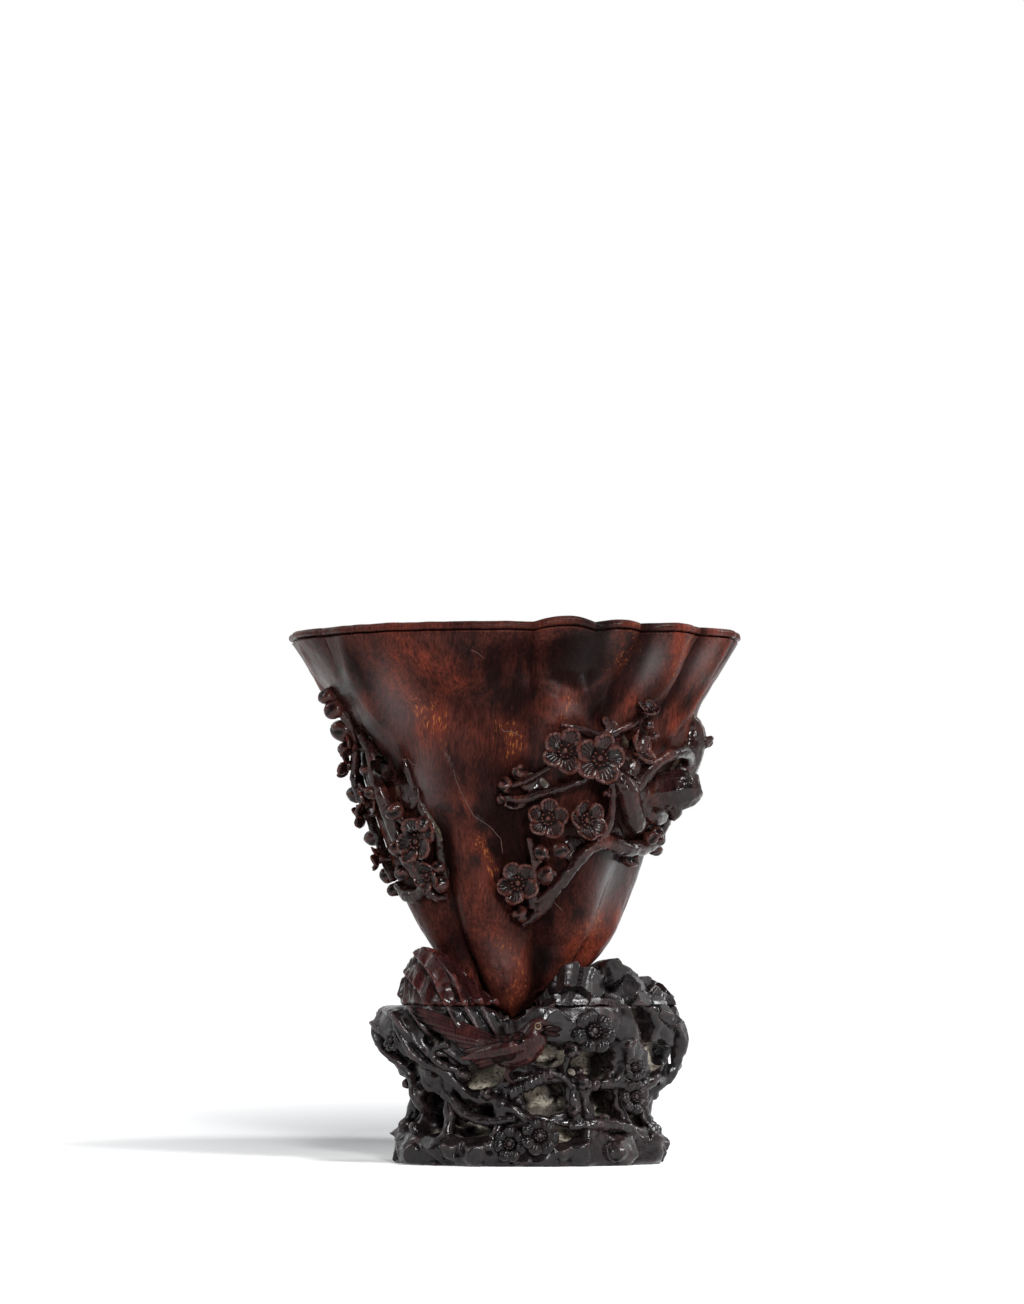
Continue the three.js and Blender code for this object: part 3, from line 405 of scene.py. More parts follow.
    @staticmethod
    def hand_in(
        thing: bpy.types.Object,
        name: str,
        body: Body,
        slot: Slot,
        finish: bpy.types.Material,
        nodes: Sequence[str] = (),
    ) -> bpy.types.Object:
        """Names a finished piece, dresses it and puts it on its body.

        Args:
            thing: The piece.
            name: Its name.
            body: What it moves with.
            slot: The record's wood; not used.
            finish: Its material.
            nodes: The solids that it stands for.

        Returns:
            The piece.
        """
        thing.name = thing.data.name = name
        thing.data.materials.clear()
        thing.data.materials.append(finish)
        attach(thing, body.value)
        if nodes:
            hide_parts(*nodes)
        log.info("%s: %d points", name, len(thing.data.vertices))
        return thing


def turned_to(points: Array, at: Vector, face: Vector | None = None, spin: float = 0.0) -> Array:
    """Spins points about +Z, turns +Z to a direction and moves them to a place.

    Args:
        points: Places in mm round the origin.
        at: Where the origin goes, in mm.
        face: Where +Z goes, up if left out.
        spin: The first turn, in degrees.

    Returns:
        The new places.
    """
    c, s = math.cos(math.radians(spin)), math.sin(math.radians(spin))
    spun = points @ np.array([[c, s, 0], [-s, c, 0], [0, 0, 1]])
    if face is not None:
        turn = Vector((0, 0, 1)).rotation_difference(face).to_matrix()
        spun = spun @ np.array(turn).T
    return spun + np.array(at)


def facing(azimuth: float, elevation: float) -> Vector:
    """A direction by its azimuth from the front and its angle above level, in degrees."""
    a, e = math.radians(azimuth), math.radians(elevation)
    return Vector((math.cos(e) * math.sin(a), -math.cos(e) * math.cos(a), math.sin(e)))


# Finishes


class Nodes:
    """Lays out the nodes of a material or of the room."""

    def __init__(self, name: str, room: bool = False) -> None:
        """Starts an empty material, or the room's light.

        Args:
            name: Its name.
            room: Whether it is the room's light.
        """
        self.made = (bpy.data.worlds if room else bpy.data.materials).new(name)
        self.made.use_nodes = True
        self.tree = self.made.node_tree
        self.tree.nodes.clear()
        self.out = self.tree.nodes.new("ShaderNodeOutput" + ("World" if room else "Material"))

    def finish(self, shader: bpy.types.NodeSocket) -> bpy.types.Material | bpy.types.World:
        """Wires the last shader to the output and returns what was made."""
        self.tree.links.new(shader, self.out.inputs[0])
        return self.made

    def seen(self) -> bpy.types.NodeSocket:
        """Tells rays that only look, straight, in a mirror or through glass, from light.

        Returns:
            1 for the first kind and 0 for light.
        """
        path = self.add("LightPath").outputs
        rays = self.sums("MAXIMUM", path["Is Camera Ray"], path["Is Glossy Ray"])
        return self.sums("MAXIMUM", rays, path["Is Transmission Ray"])

    def add(self, kind: str, inputs: dict | None = None, **settings: object) -> bpy.types.Node:
        """Adds a node.

        Args:
            kind: Its type name after ShaderNode.
            inputs: Values or sockets by input name or number.
            settings: The node's own settings.

        Returns:
            The node.
        """
        node = self.tree.nodes.new("ShaderNode" + kind)
        for key, value in settings.items():
            setattr(node, key, value)
        for key, value in (inputs or {}).items():
            if isinstance(value, bpy.types.NodeSocket):
                self.tree.links.new(value, node.inputs[key])
            else:
                node.inputs[key].default_value = value
        return node

    def sums(self, operation: str, a: object, b: object) -> bpy.types.NodeSocket:
        """One sum of two values or sockets."""
        return self.add("Math", {0: a, 1: b}, operation=operation).outputs[0]

    def plus(self, a: object, b: object) -> bpy.types.NodeSocket:
        """Two values added."""
        return self.sums("ADD", a, b)

    def less(self, a: object, b: object) -> bpy.types.NodeSocket:
        """The first value less the second."""
        return self.sums("SUBTRACT", a, b)

    def times(self, a: object, b: object) -> bpy.types.NodeSocket:
        """Two values multiplied."""
        return self.sums("MULTIPLY", a, b)

    def place(self) -> bpy.types.NodeSocket:
        """The place on the object in mm."""
        coords = self.add("TexCoord").outputs["Object"]
        return self.add("Mapping", {"Vector": coords, "Scale": (1000, 1000, 1000)}).outputs[0]

    def swayed(self, place: object, scale: float, reach: float) -> bpy.types.NodeSocket:
        """Makes places wander as grain does.

        Args:
            place: The places.
            scale: Lumps a mm.
            reach: How far they wander in mm.

        Returns:
            The new places.
        """
        swirl = self.add("TexNoise", {"Vector": place, "Scale": scale, "Detail": 1.0}).outputs["Color"]
        moved = self.add("VectorMath", {0: swirl, 1: (0.5, 0.5, 0.5)}, operation="SUBTRACT").outputs[0]
        moved = self.add("VectorMath", {0: moved, "Scale": reach}, operation="SCALE").outputs[0]
        return self.add("VectorMath", {0: place, 1: moved}, operation="ADD").outputs[0]

    def stretch(self, place: object, scale: Spot) -> bpy.types.NodeSocket:
        """Scales places before a pattern reads them."""
        return self.add("Mapping", {"Vector": place, "Scale": scale}).outputs[0]

    def cloud(
        self, place: object, scale: float, detail: float = 2.0, rough: float = 0.5
    ) -> bpy.types.NodeSocket:
        """Smooth noise with a number of lumps a mm."""
        made = {"Vector": place, "Scale": scale, "Detail": detail, "Roughness": rough}
        return self.add("TexNoise", made).outputs["Fac"]

    def band(self, value: object, low: float, high: float) -> bpy.types.NodeSocket:
        """Rises from 0 to 1 as a value goes from low to high."""
        made = {"Value": value, "From Min": low, "From Max": high}
        return self.add("MapRange", made, interpolation_type="SMOOTHSTEP").outputs[0]

    def mix(self, share: object, a: object, b: object, kind: str = "MIX") -> bpy.types.NodeSocket:
        """Mixes two colours.

        Args:
            share: How much of the second.
            a: The first colour.
            b: The second colour.
            kind: How they are mixed.

        Returns:
            The mixed colour.
        """
        node = self.add("Mix", data_type="RGBA", blend_type=kind)
        for key, value in ((0, share), (6, a), (7, b)):
            if isinstance(value, bpy.types.NodeSocket):
                self.tree.links.new(value, node.inputs[key])
            elif key:
                node.inputs[key].default_value = (*value, 1)
            else:
                node.inputs[key].default_value = value
        return node.outputs[2]

    def marks(self, name: str) -> bpy.types.NodeSocket:
        """The number that a piece's points carry under a name."""
        return self.add("Attribute", attribute_name=name).outputs["Fac"]


Colour = tuple[float, float, float]


@dataclass(frozen=True)
class CarvedWood:
    """Oiled dark wood with fibres, pores, worn edges, painted shade in its recesses and old dust.

    Colours are linear. Attributes on the piece: relief, amber, a glossier patch that is also tinted as a
    painted grey sheen, dust, warm and hollow. Deep relief and hollow add painted shade; warm adds painted
    light on ridges.
    """

    name: str
    deep: Colour
    body: Colour
    worn: Colour
    fleck: Colour
    # Grey that paints the sheen of a reflection into the glossier patches.
    slate: Colour = (0.016, 0.016, 0.018)
    dust: Colour = (0.30, 0.25, 0.16)
    flecks: float = 1.0
    fibre: float = 1.5
    edge: float = 0.5
    polish: float = 0.3
    dull: float = 0.5
    bump: float = 0.25
    shine: float = 0.12
    wax: float = 0.3
    nicks: float = 0.5

    def tones(self, n: Nodes, place: object, grained: object) -> tuple[object, object, object]:
        """Mixes the wood's colour, with painted light on marked ridges and painted shade in marked hollows.

        Args:
            n: The material's nodes.
            place: Places on the piece in mm.
            grained: The same, swaying as the grain does.

        Returns:
            The colour, the fine fibres and the middle-sized clouds.
        """
        fibres = n.cloud(n.stretch(grained, (1, 1, 0.09)), self.fibre, 4.0, 0.6)
        middle = n.cloud(n.stretch(grained, (1, 1, 0.4)), 0.2, 4.0, 0.62)
        broad = n.cloud(place, 0.055, 3.0, 0.6)
        tone = n.times(n.plus(broad, middle), 0.5)
        # Painted light and shade: the tone leans lighter on marked ridges and darker in marked hollows.
        lean = n.less(n.marks("warm"), n.marks("hollow"))
        tone = n.plus(tone, n.times(lean, 0.15))
        base = n.mix(n.band(tone, 0.35, 0.53), self.deep, self.body)
        base = n.mix(n.times(n.band(tone, 0.53, 0.70), 0.8), base, self.worn)
        shade = n.plus(n.times(n.band(fibres, 0.30, 0.70), 0.95), 0.52)
        shades = n.add("CombineColor", {0: shade, 1: shade, 2: shade}).outputs[0]
        return n.mix(1.0, base, shades, "MULTIPLY"), fibres, middle

    def flecked(self, n: Nodes, base: object, grained: object, middle: object) -> object:
        """Adds the short orange dashes, thick in the amber patches and rare elsewhere.

        Args:
            n: The material's nodes.
            base: The wood's colour.
            grained: Places that sway as the grain does.
            middle: The middle-sized clouds.

        Returns:
            The new colour.
        """
        dashes = n.cloud(n.stretch(grained, (1, 1, 0.24)), 1.9, 1.5, 0.5)
        patch = n.times(n.marks("amber"), n.band(middle, 0.34, 0.56))
        reach = n.plus(dashes, n.times(patch, 0.15))
        most = n.plus(n.times(patch, 0.9), 0.1)
        lit = n.times(n.band(reach, 0.67, 0.78), most)
        lit = n.times(lit, self.flecks)
        warm = n.mix(n.times(patch, 0.45), base, self.worn)
        return n.mix(lit, warm, self.fleck)

    def make(self) -> bpy.types.Material:
        """Builds the material.

        Returns:
            The material.
        """
        n = Nodes(self.name)
        place = n.place()
        grained = n.swayed(place, 0.035, 12.0)
        base, fibres, middle = self.tones(n, place, grained)
        # Painted sheen: the glossier patches are tinted grey, as a reflection would look; they are also made
        # glossier below.
        slate = n.times(n.marks("slate"), n.band(middle, 0.3, 0.6))
        base = n.mix(slate, base, self.slate)
        base = self.flecked(n, base, grained, middle)
        relief = n.marks("relief")
        base = n.mix(n.times(n.band(relief, 0.64, 0.95), self.edge), base, self.worn)
        # Painted shade: points sunk below their neighbours and the marked hollows are darkened towards
        # black; on the cup's wall the hollow mark also carries dark stain.
        black = tuple(c * 0.35 for c in self.deep)
        base = n.mix(n.band(relief, 0.45, 0.18), base, black)
        base = n.mix(n.times(n.marks("hollow"), 0.6), base, black)
        pores = n.cloud(n.stretch(grained, (1, 1, 0.16)), 3.0, 2.0, 0.5)
        base = n.mix(n.times(n.band(pores, 0.42, 0.34), 0.6), base, black)
        speck = n.band(n.cloud(place, 1.4, 4.0, 0.7), 0.30, 0.58)
        dust = n.times(n.marks("dust"), speck)
        base = n.mix(dust, base, self.dust)
        gloss = n.times(n.band(middle, 0.35, 0.7), self.dull - self.polish)
        gloss = n.times(gloss, n.less(1.0, n.marks("slate")))
        gloss = n.plus(gloss, n.plus(n.times(dust, 0.4), self.polish))
        open_ = n.times(n.band(relief, 0.26, 0.47), n.less(1.0, n.marks("hollow")))
        spare = n.less(1.0, n.times(dust, 0.9))
        shine = n.plus(n.times(n.marks("slate"), self.wax), self.shine)
        shine = n.times(shine, n.plus(n.times(open_, 0.8), 0.2))
        height = n.plus(n.times(fibres, 0.7), n.times(pores, 0.5))
        height = n.plus(height, n.times(n.cloud(place, 0.6, 3.0), self.nicks))
        bump = n.add("Bump", {"Height": height, "Strength": self.bump, "Distance": 0.0004}).outputs[0]
        made = {
            "Base Color": base, "Roughness": gloss, "Normal": bump,
            "Specular IOR Level": n.times(shine, spare),
        }
        return n.finish(n.add("BsdfPrincipled", made).outputs[0])


@dataclass(frozen=True)
class PaleSeam:
    """Wax and dust in the cup's hairline cracks."""

    colour: Colour = (0.13, 0.085, 0.065)

    def make(self) -> bpy.types.Material:
        """Builds the material.

        Returns:
            The material.
        """
        n = Nodes("crack_dust")
        grain = n.cloud(n.place(), 2.2, 3.0, 0.7)
        base = n.mix(n.band(grain, 0.35, 0.65), (0.05, 0.02, 0.015), self.colour)
        return n.finish(n.add("BsdfPrincipled", {"Base Color": base, "Roughness": 0.6}).outputs[0])


# The cup's wall


@dataclass(frozen=True)
class RimLobe:
    """One lobe of the rim: where it begins, how far its flute runs down, how high it stands."""

    start: float
    run: float
    rise: float
    over: int = 1


@dataclass(frozen=True)
class Form:
    """A swelling or hollow: azimuth, height, spread across in degrees, spread up, how far out."""

    at: float
    height: float
    across: float
    up: float
    out: float


@dataclass(frozen=True)
class Stroke:
    """A carved line on the wall: its route by azimuth and height, its width and depth in mm."""

    cut: Cut
    width: float
    depth: float
    route: Route


def add_forms(forms: Sequence[Form], azimuth: Array, height: Array) -> Array:
    """Adds up how far a list of swellings stands out.

    Args:
        forms: The swellings.
        azimuth: Azimuth of each place.
        height: Height of each place.

    Returns:
        How far out each place moves, in mm.
    """
    total = np.zeros(np.broadcast(azimuth, height).shape)
    for form in forms:
        across = bell(turn_between(form.at, azimuth), form.across)
        total += form.out * across * bell(height - form.height, form.up)
    return total


def add_strokes(strokes: Sequence[Stroke], azimuth: Array, height: Array, radius: Array) -> Array:
    """How far a list of carved lines moves a turned wall out at each place, in mm.

    Args:
        strokes: The lines.
        azimuth: Azimuth of each place.
        height: Height of each place.
        radius: The wall's half width there.

    Returns:
        The moves.
    """
    moved = np.zeros(azimuth.shape)
    for stroke in strokes:
        near = np.full(azimuth.shape, 1e9)
        side = np.zeros(azimuth.shape)
        for (a0, h0), (a1, h1) in zip(stroke.route, stroke.route[1:]):
            x = np.radians(turn_between(a0, azimuth)) * radius
            y = (height - h0) * SLOPE_STRETCH
            dx = np.radians(float(turn_between(a0, a1))) * radius
            dy = (h1 - h0) * SLOPE_STRETCH
            t = np.clip((x * dx + y * dy) / (dx * dx + dy * dy), 0, 1)
            gap = np.hypot(x - t * dx, y - t * dy)
            closer = gap < near
            side = np.where(closer, np.sign(dx * y - dy * x), side)
            near = np.where(closer, gap, near)
        if stroke.cut is Cut.STEP:
            wave = np.where(side > 0, -bell(near, stroke.width * 1.6), 0.5 * bell(near, stroke.width))
            moved += stroke.depth * wave
        else:
            moved += stroke.cut.value * stroke.depth * bell(near, stroke.width)
    return moved


@dataclass
class CupForm:
    """The cup's outline, lobes and flutes, by azimuth from the front and height above its tip."""

    height: float = 107.0
    rim: float = 64.5
    rim_depth: float = 0.73
    foot_depth: float = 0.84
    wall: float = 4.0
    lip: float = 2.6
    bowl_floor: float = 36.0
    foot: float = 9.0
    axis_x: float = -3.0
    seat: float = 40.0
    notch: float = 2.6
    valley_run: float = 58.0
    root_fade: float = 34.0
    outline: Stations = (
        (0, 9), (3, 15), (13, 21), (33, 31.5), (80, 47.5), (96, 57.5), (107, 64.5),
    )
    lobes: tuple[RimLobe, ...] = (
        RimLobe(-62, 15, 0, -1), RimLobe(5, 30, 1.5, -1), RimLobe(21, 26, 0.7), RimLobe(34, 34, 0.4),
        RimLobe(56, 34, 0), RimLobe(84, 24, 0.5), RimLobe(122, 16, 0), RimLobe(160, 26, 0.8),
        RimLobe(190, 20, 0), RimLobe(226, 28, 0.6, -1), RimLobe(258, 22, 0, -1), RimLobe(280, 22, 0, -1),
    )
    root_tips: Stations = ((-8, 0), (36, 6), (74, 10), (130, 6), (186, 3), (236, 7), (290, 5))
    valleys: tuple[Stop, ...] = (
        (-43, 0, 9, 0.2), (19, -1.1, 8, 0.2), (54, 0.1, 8, 0.17), (104, 0.2, 12, 0.2), (158, 0, 12, 0.18),
        (212, 0.2, 12, 0.2), (262, 0, 12, 0.18),
    )
    forms: tuple[Form, ...] = (
        Form(12, 85, 9, 6, 4), Form(10, 96, 15, 5, -3), Form(84, 77, 16, 8, 2.6), Form(-52, 84, 10, 9, 2),
        Form(-30, 62, 14, 16, 1.6), Form(200, 70, 18, 14, 2.2), Form(150, 88, 14, 8, -2),
    )
    strokes: tuple[Stroke, ...] = (
        Stroke(Cut.VALLEY, 5.5, 1.5, ((21, 104), (20, 97), (18, 91))),
        Stroke(Cut.VALLEY, 4.5, 1.8, ((34, 103), (34, 94), (32, 87), (29, 82))),
        Stroke(Cut.VALLEY, 4.5, 1.9, ((54, 104), (57, 95), (57, 87), (50, 83))),
        Stroke(Cut.VALLEY, 4.0, 1.4, ((77, 103), (77, 95), (81, 87))),
        Stroke(Cut.VALLEY, 5.0, 1.3, ((-58, 104), (-58, 95), (-56, 86), (-48, 78))),
        Stroke(Cut.VALLEY, 7.0, 1.6, ((-80, 77), (-58, 71), (-48, 63), (-42, 52))),
        Stroke(Cut.VALLEY, 10.0, 1.6, ((-4, 95), (12, 96), (26, 94))),
        Stroke(Cut.VALLEY, 8.0, 1.2, ((-26, 90), (-12, 79), (-4, 70))),
        Stroke(Cut.VALLEY, 8.0, 3.2, ((2, 61), (0, 54), (-1, 46), (3, 38))),
        Stroke(Cut.RIDGE, 3.6, 1.0, ((-54, 99), (-57, 90), (-50, 82), (-45, 77))),
        Stroke(Cut.RIDGE, 4.0, 1.2, ((26, 102), (27, 94), (26, 86), (23, 81))),
        Stroke(Cut.RIDGE, 5.0, 1.3, ((45, 103), (48, 92), (46, 86))),
        Stroke(Cut.RIDGE, 3.6, 1.2, ((70, 102), (74, 92), (71, 85), (64, 80))),
        Stroke(Cut.VALLEY, 6.0, 1.5, ((122, 104), (124, 92), (128, 78))),
        Stroke(Cut.VALLEY, 6.0, 1.6, ((160, 104), (158, 90), (164, 74))),
        Stroke(Cut.RIDGE, 6.0, 1.4, ((176, 102), (178, 88), (172, 72))),
        Stroke(Cut.VALLEY, 6.0, 1.5, ((190, 103), (196, 88), (192, 74))),
        Stroke(Cut.VALLEY, 6.0, 1.6, ((226, 103), (222, 88), (228, 70))),
        Stroke(Cut.RIDGE, 5.0, 1.2, ((242, 102), (240, 84), (246, 64))),
        Stroke(Cut.VALLEY, 5.0, 1.3, ((258, 103), (262, 86), (256, 68))),
    )

    def lobe_share(self, azimuth: Array) -> tuple[Array, Array, Array]:
        """Finds the rim's lobe that each azimuth falls in.

        Args:
            azimuth: The azimuths.

        Returns:
            Which lobe, how far through it from 0 to 1, and the lobe's span.
        """
        starts = np.array([lobe.start for lobe in self.lobes], float)
        into = (azimuth[..., None] - starts) % 360
        which = np.argmin(into, axis=-1)
        span = (np.roll(starts, -1) - starts) % 360
        share = np.take_along_axis(into, which[..., None], -1)[..., 0] / span[which]
        return which, share, span[which]

    def radius(self, azimuth: Array | float, height: Array | float) -> Array:
        """Half width of the outer wall.

        Args:
            azimuth: Azimuth from the front.
            height: Height above the tip.

        Returns:
            The half width in mm.
        """
        azimuth, height = np.broadcast_arrays(np.asarray(azimuth, float), np.asarray(height, float))
        plain = through(self.outline, height)
        fade = np.clip(1 - height / self.valley_run, 0, 1)
        drawn = np.zeros(plain.shape)
        for at, lean, width, depth in self.valleys:
            drawn += depth * fade * bell(turn_between(at + lean * (height - 13), azimuth), width)
        carved = plain * (1 - drawn) + add_strokes(self.strokes, azimuth, height, plain)
        which, share, span = self.lobe_share(azimuth)
        runs = np.array([lobe.run for lobe in self.lobes], float)
        run = runs[which] + (np.roll(runs, -1)[which] - runs[which]) * share
        fall = np.clip(1 - (self.height - height) / run, 0, 1)
        deep = self.notch * np.clip(span / 36, 0.55, 1.2)
        notch = deep * (1 - np.sqrt(np.sin(np.pi * np.clip(share, 0, 1)))) * fall
        return carved - notch + add_forms(self.forms, azimuth, height)

    def bowl(self, azimuth: Array, height: Array) -> Array:
        """Half width of the bowl."""
        plain = through(self.outline, height)
        return plain + 0.55 * (self.radius(azimuth, height) - plain) - self.wall

    def place(self, azimuth: Array, radius: Array, height: Array) -> Array:
        """Turns azimuth, radius and height into places in the row's frame.

        Args:
            azimuth: Azimuth from the front.
            radius: Half width there.
            height: Height above the tip.

        Returns:
            The places in mm.
        """
        azimuth, radius, height = np.broadcast_arrays(
            np.asarray(azimuth, float), np.asarray(radius, float), np.asarray(height, float))
        depth = self.foot_depth + (self.rim_depth - self.foot_depth) * np.clip(height / self.height, 0, 1)
        tips = list(self.root_tips)
        ring = [(a - 360, t) for a, t in tips] + tips + [(a + 360, t) for a, t in tips]
        raised = np.interp(turn_between(0, azimuth) % 360, *np.array(ring, float).T)
        raised = raised * np.clip(1 - height / self.root_fade, 0, 1) ** 2
        raised = raised * np.clip(radius / self.foot, 0, 1)
        which, share, _ = self.lobe_share(azimuth)
        rises = np.array([lobe.rise for lobe in self.lobes])[which] * np.sin(np.pi * np.clip(share, 0, 1))
        top = rises * np.clip(1 - (self.height - height) / (self.lip * 4), 0, 1)
        a = np.radians(azimuth)
        x = self.axis_x + radius * np.sin(a)
        y = -radius * depth * np.cos(a)
        return np.stack([x, y, self.seat + height + raised + top], axis=-1)

    def on_wall(self, azimuth: float, height: float, lift: float = 0.0) -> Vector:
        """A place on the wall, or stood off from it, in mm."""
        return Vector(self.place(azimuth, self.radius(azimuth, height) + lift, height))

    def lift_of(self, points: Array) -> Array:
        """Measures how far places stand off the wall.

        Args:
            points: Places in mm.

        Returns:
            The distances in mm.
        """
        height = np.clip(points[:, 2] - self.seat, 0, self.height)
        depth = self.foot_depth + (self.rim_depth - self.foot_depth) * height / self.height
        x, y = points[:, 0] - self.axis_x, points[:, 1] / depth
        return np.hypot(x, y) - self.radius(np.degrees(np.arctan2(x, -y)), height)


@dataclass
class CupWall:
    """The vessel: root lobes, carved wall, lip band and bowl."""

    form: CupForm
    columns: int = 460
    front_share: float = 0.66
    front_half: float = 112.0
    wall_rows: int = 132
    bowl_rows: int = 42
    strokes: tuple[Stroke, ...] = (
        Stroke(Cut.RIDGE, 3.0, 0.9, ((-77, 100), (-84, 91), (-76, 84), (-75, 78))),
        Stroke(Cut.STEP, 2.2, 0.9, (
            (-25, 72), (-21, 62), (-17, 55), (-11, 52), (-7, 49), (-6, 44), (-8, 40))),
        Stroke(Cut.VALLEY, 3.0, 0.9, ((90, 100), (96, 84), (92, 70))),
        Stroke(Cut.VALLEY, 4.0, 1.5, ((-30, 54), (-38, 36), (-42, 20), (-36, 7))),
        Stroke(Cut.VALLEY, 3.6, 2.6, ((13, 31), (18, 22), (21, 14), (22, 5))),
        Stroke(Cut.RIDGE, 9.0, 2.6, ((64, 22), (68, 13))),
    )
    amber: tuple[Stop, ...] = (
        (-29, 81, 5, 1.0), (-32, 84, 4, 0.9), (-2, 75, 4.4, 1.0), (-5, 77, 3, 0.8), (31, 99.7, 4.5, 1.0),
        (50, 99, 6, 0.8), (-15, 46, 4, 0.9), (-12, 38, 4, 0.9), (-7, 33, 3.4, 0.8), (54, 22, 7, 1.0),
        (51, 15, 5, 1.0), (-4, 9, 7, 0.7), (-7, 20, 3, 0.8), (16, 84, 4, 0.7), (-22, 58, 3, 0.8),
        (-38, 96, 5, 0.5), (66, 94, 5, 0.6), (160, 90, 9, 0.8), (200, 60, 8, 0.7), (240, 92, 8, 0.7),
        (130, 40, 7, 0.8), (280, 50, 8, 0.6),
    )
    warm: tuple[Stop, ...] = (
        (-36, 92, 13, 0.7), (-17, 84, 9, 1.0), (58, 96, 7, 1.0), (38, 90, 5, 0.8), (-20, 30, 9, 0.7),
        (-8, 12, 8, 0.9), (52, 24, 9, 1.0), (14, 82, 5, 0.9), (30, 24, 6, 0.5), (76, 94, 6, 0.9),
        (-28, 78, 9, 0.6), (0, 100, 8, 0.6), (190, 84, 14, 0.7), (240, 60, 12, 0.7), (140, 70, 12, 0.7),
        (120, 30, 9, 0.7),
    )
    # Dark patches: painted shade in pockets, valleys and behind the sprays, together with dark stain.
    dark: tuple[Stop, ...] = (
        (2, 88, 10, 1.0), (-8, 68, 9, 0.9), (-24, 66, 7, 0.8), (-70, 66, 12, 1.0), (-56, 44, 12, 1.0),
        (-44, 22, 6, 1.0), (19, 20, 5, 1.0), (2, 50, 9, 1.0), (24, 84, 7, 0.9), (4, 26, 5, 0.8),
        (26, 34, 9, 0.8), (40, 62, 14, 0.9), (78, 60, 12, 0.8), (-14, 92, 6, 0.7), (46, 88, 4, 0.8),
        (66, 86, 5, 0.8), (-50, 96, 6, 0.8), (170, 66, 12, 0.8), (215, 88, 9, 0.8), (262, 70, 12, 0.9),
        (150, 30, 9, 0.8),
    )
    # Glossier patches, also tinted grey as a painted sheen.
    slate: tuple[Stop, ...] = (
        (-66, 88, 13, 0.4), (21, 98, 5, 0.5), (40, 96, 4, 0.7), (61, 98, 4, 0.6), (16, 80, 5, 0.7),
        (54, 38, 7, 1.0), (24, 15, 3.4, 1.0), (-40, 86, 7, 0.5), (90, 80, 7, 0.5), (-10, 14, 5, 0.6),
        (-34, 66, 7, 0.5), (176, 80, 10, 0.7), (220, 84, 10, 0.6),
    )
    cracks: tuple[Route, ...] = (
        ((-25, 72), (-21, 62), (-19, 58), (-17, 55), (-11, 52), (-7, 48.7), (-6.4, 45)),
        ((-24, 100), (-22.6, 97), (-23.4, 93), (-22, 90), (-21, 88)),
        ((14, 33.7), (17, 31.4), (20, 31.6), (25, 29.4)),
        ((-42, 70.7), (-40, 69.2), (-37, 69)),
        ((-12, 99.2), (-10.6, 98.6), (-9, 97)),
        ((-6, 79.4), (-4, 77.6), (-2, 77.8), (1, 76.6)),
        ((-30, 60), (-29, 55), (-27, 52)),
        ((150, 80), (152, 72), (156, 66), (155, 58)),
        ((214, 92), (216, 86), (221, 82)),
    )

    def azimuths(self, across: Array) -> Array:
        """Spreads the columns, closer together on the front.

        Args:
            across: Places across the sheet, from 0 to 1.

        Returns:
            Their azimuths.
        """
        half, share = self.front_half, self.front_share
        stations = ((0, -180), ((1 - share) / 2, -half), ((1 + share) / 2, half), (1, 180))
        return np.interp(across, *np.array(stations, float).T)

    def carve(self, azimuth: Array, height: Array) -> Array:
        """How far the finer strokes move the wall out at each place, in mm."""
        return add_strokes(self.strokes, azimuth, height, through(self.form.outline, height))

    def overlap(self, azimuth: Array, height: Array) -> Array:
        """Lets one lobe of the rim stand over the next beside it.

        Args:
            azimuth: Azimuth of each place.
            height: Height of each place.

        Returns:
            How far out each place moves, in mm.
        """
        moved = np.zeros(azimuth.shape)
        for lobe in self.form.lobes:
            away = turn_between(lobe.start, azimuth)
            fade = np.clip(1 - (self.form.height - height) / (lobe.run * 0.8), 0, 1) ** 1.5
            side = np.tanh(away / 0.7) * -lobe.over
            moved += 0.75 * side * bell(away, 6.0) * fade
        return moved

    def profile(self) -> list[tuple[str, float, float, float]]:
        """Rows from the foot's middle, up the wall, over the lip and down the bowl.

        Returns:
            For each row the surface it follows, the height read there, its own height and how far out.
        """
        form = self.form
        top = form.height
        lip_foot = top - form.lip
        rows = [("axis", 0, 1.5, 0), ("wall", 0, 0.6, -6.2), ("wall", 0, 0.1, -3.6), ("wall", 0, 0, -1.2)]
        rows += [("wall", h, h, 0) for h in np.linspace(0.4, lip_foot - 0.5, self.wall_rows)]
        band = (
            (-0.15, 0.04), (0.0, -0.45), (0.12, -0.85), (0.32, -0.85), (0.45, -0.3), (0.55, 0.25),
            (0.8, 0.62), (1.2, 0.78), (1.7, 0.74), (2.1, 0.52), (2.4, 0.1), (2.56, -0.5), (2.6, -1.2),
            (2.5, -1.9), (2.25, -2.5),
        )
        rows += [("wall", lip_foot, lip_foot + up, out) for up, out in band]
        rows += [("bowl", h, h, 0) for h in np.linspace(top - 1.3, form.bowl_floor + 6, self.bowl_rows)]
        rows += [("bowl", form.bowl_floor + 4, form.bowl_floor + 3, -2), ("bowl", 38, 37, -7)]
        rows += [("bowl", 38, 36.4, -14), ("axis", 0, 36, 0)]
        return rows

    def patches(self, spots: Sequence, azimuth: Array, height: Array, radius: Array) -> Array:
        """Reads how strongly a list of patches shows.

        Args:
            spots: Rows of azimuth, height, size in mm and strength.
            azimuth: Azimuth of each place.
            height: Height of each place.
            radius: Half width at each place.

        Returns:
            The strengths, from 0 to 1.
        """
        total = np.zeros(azimuth.shape)
        for at, up, size, strength in spots:
            across = np.radians(turn_between(at, azimuth)) * radius
            total = np.maximum(total, strength * bell(np.hypot(across, (height - up) * 0.7), size))
        return total

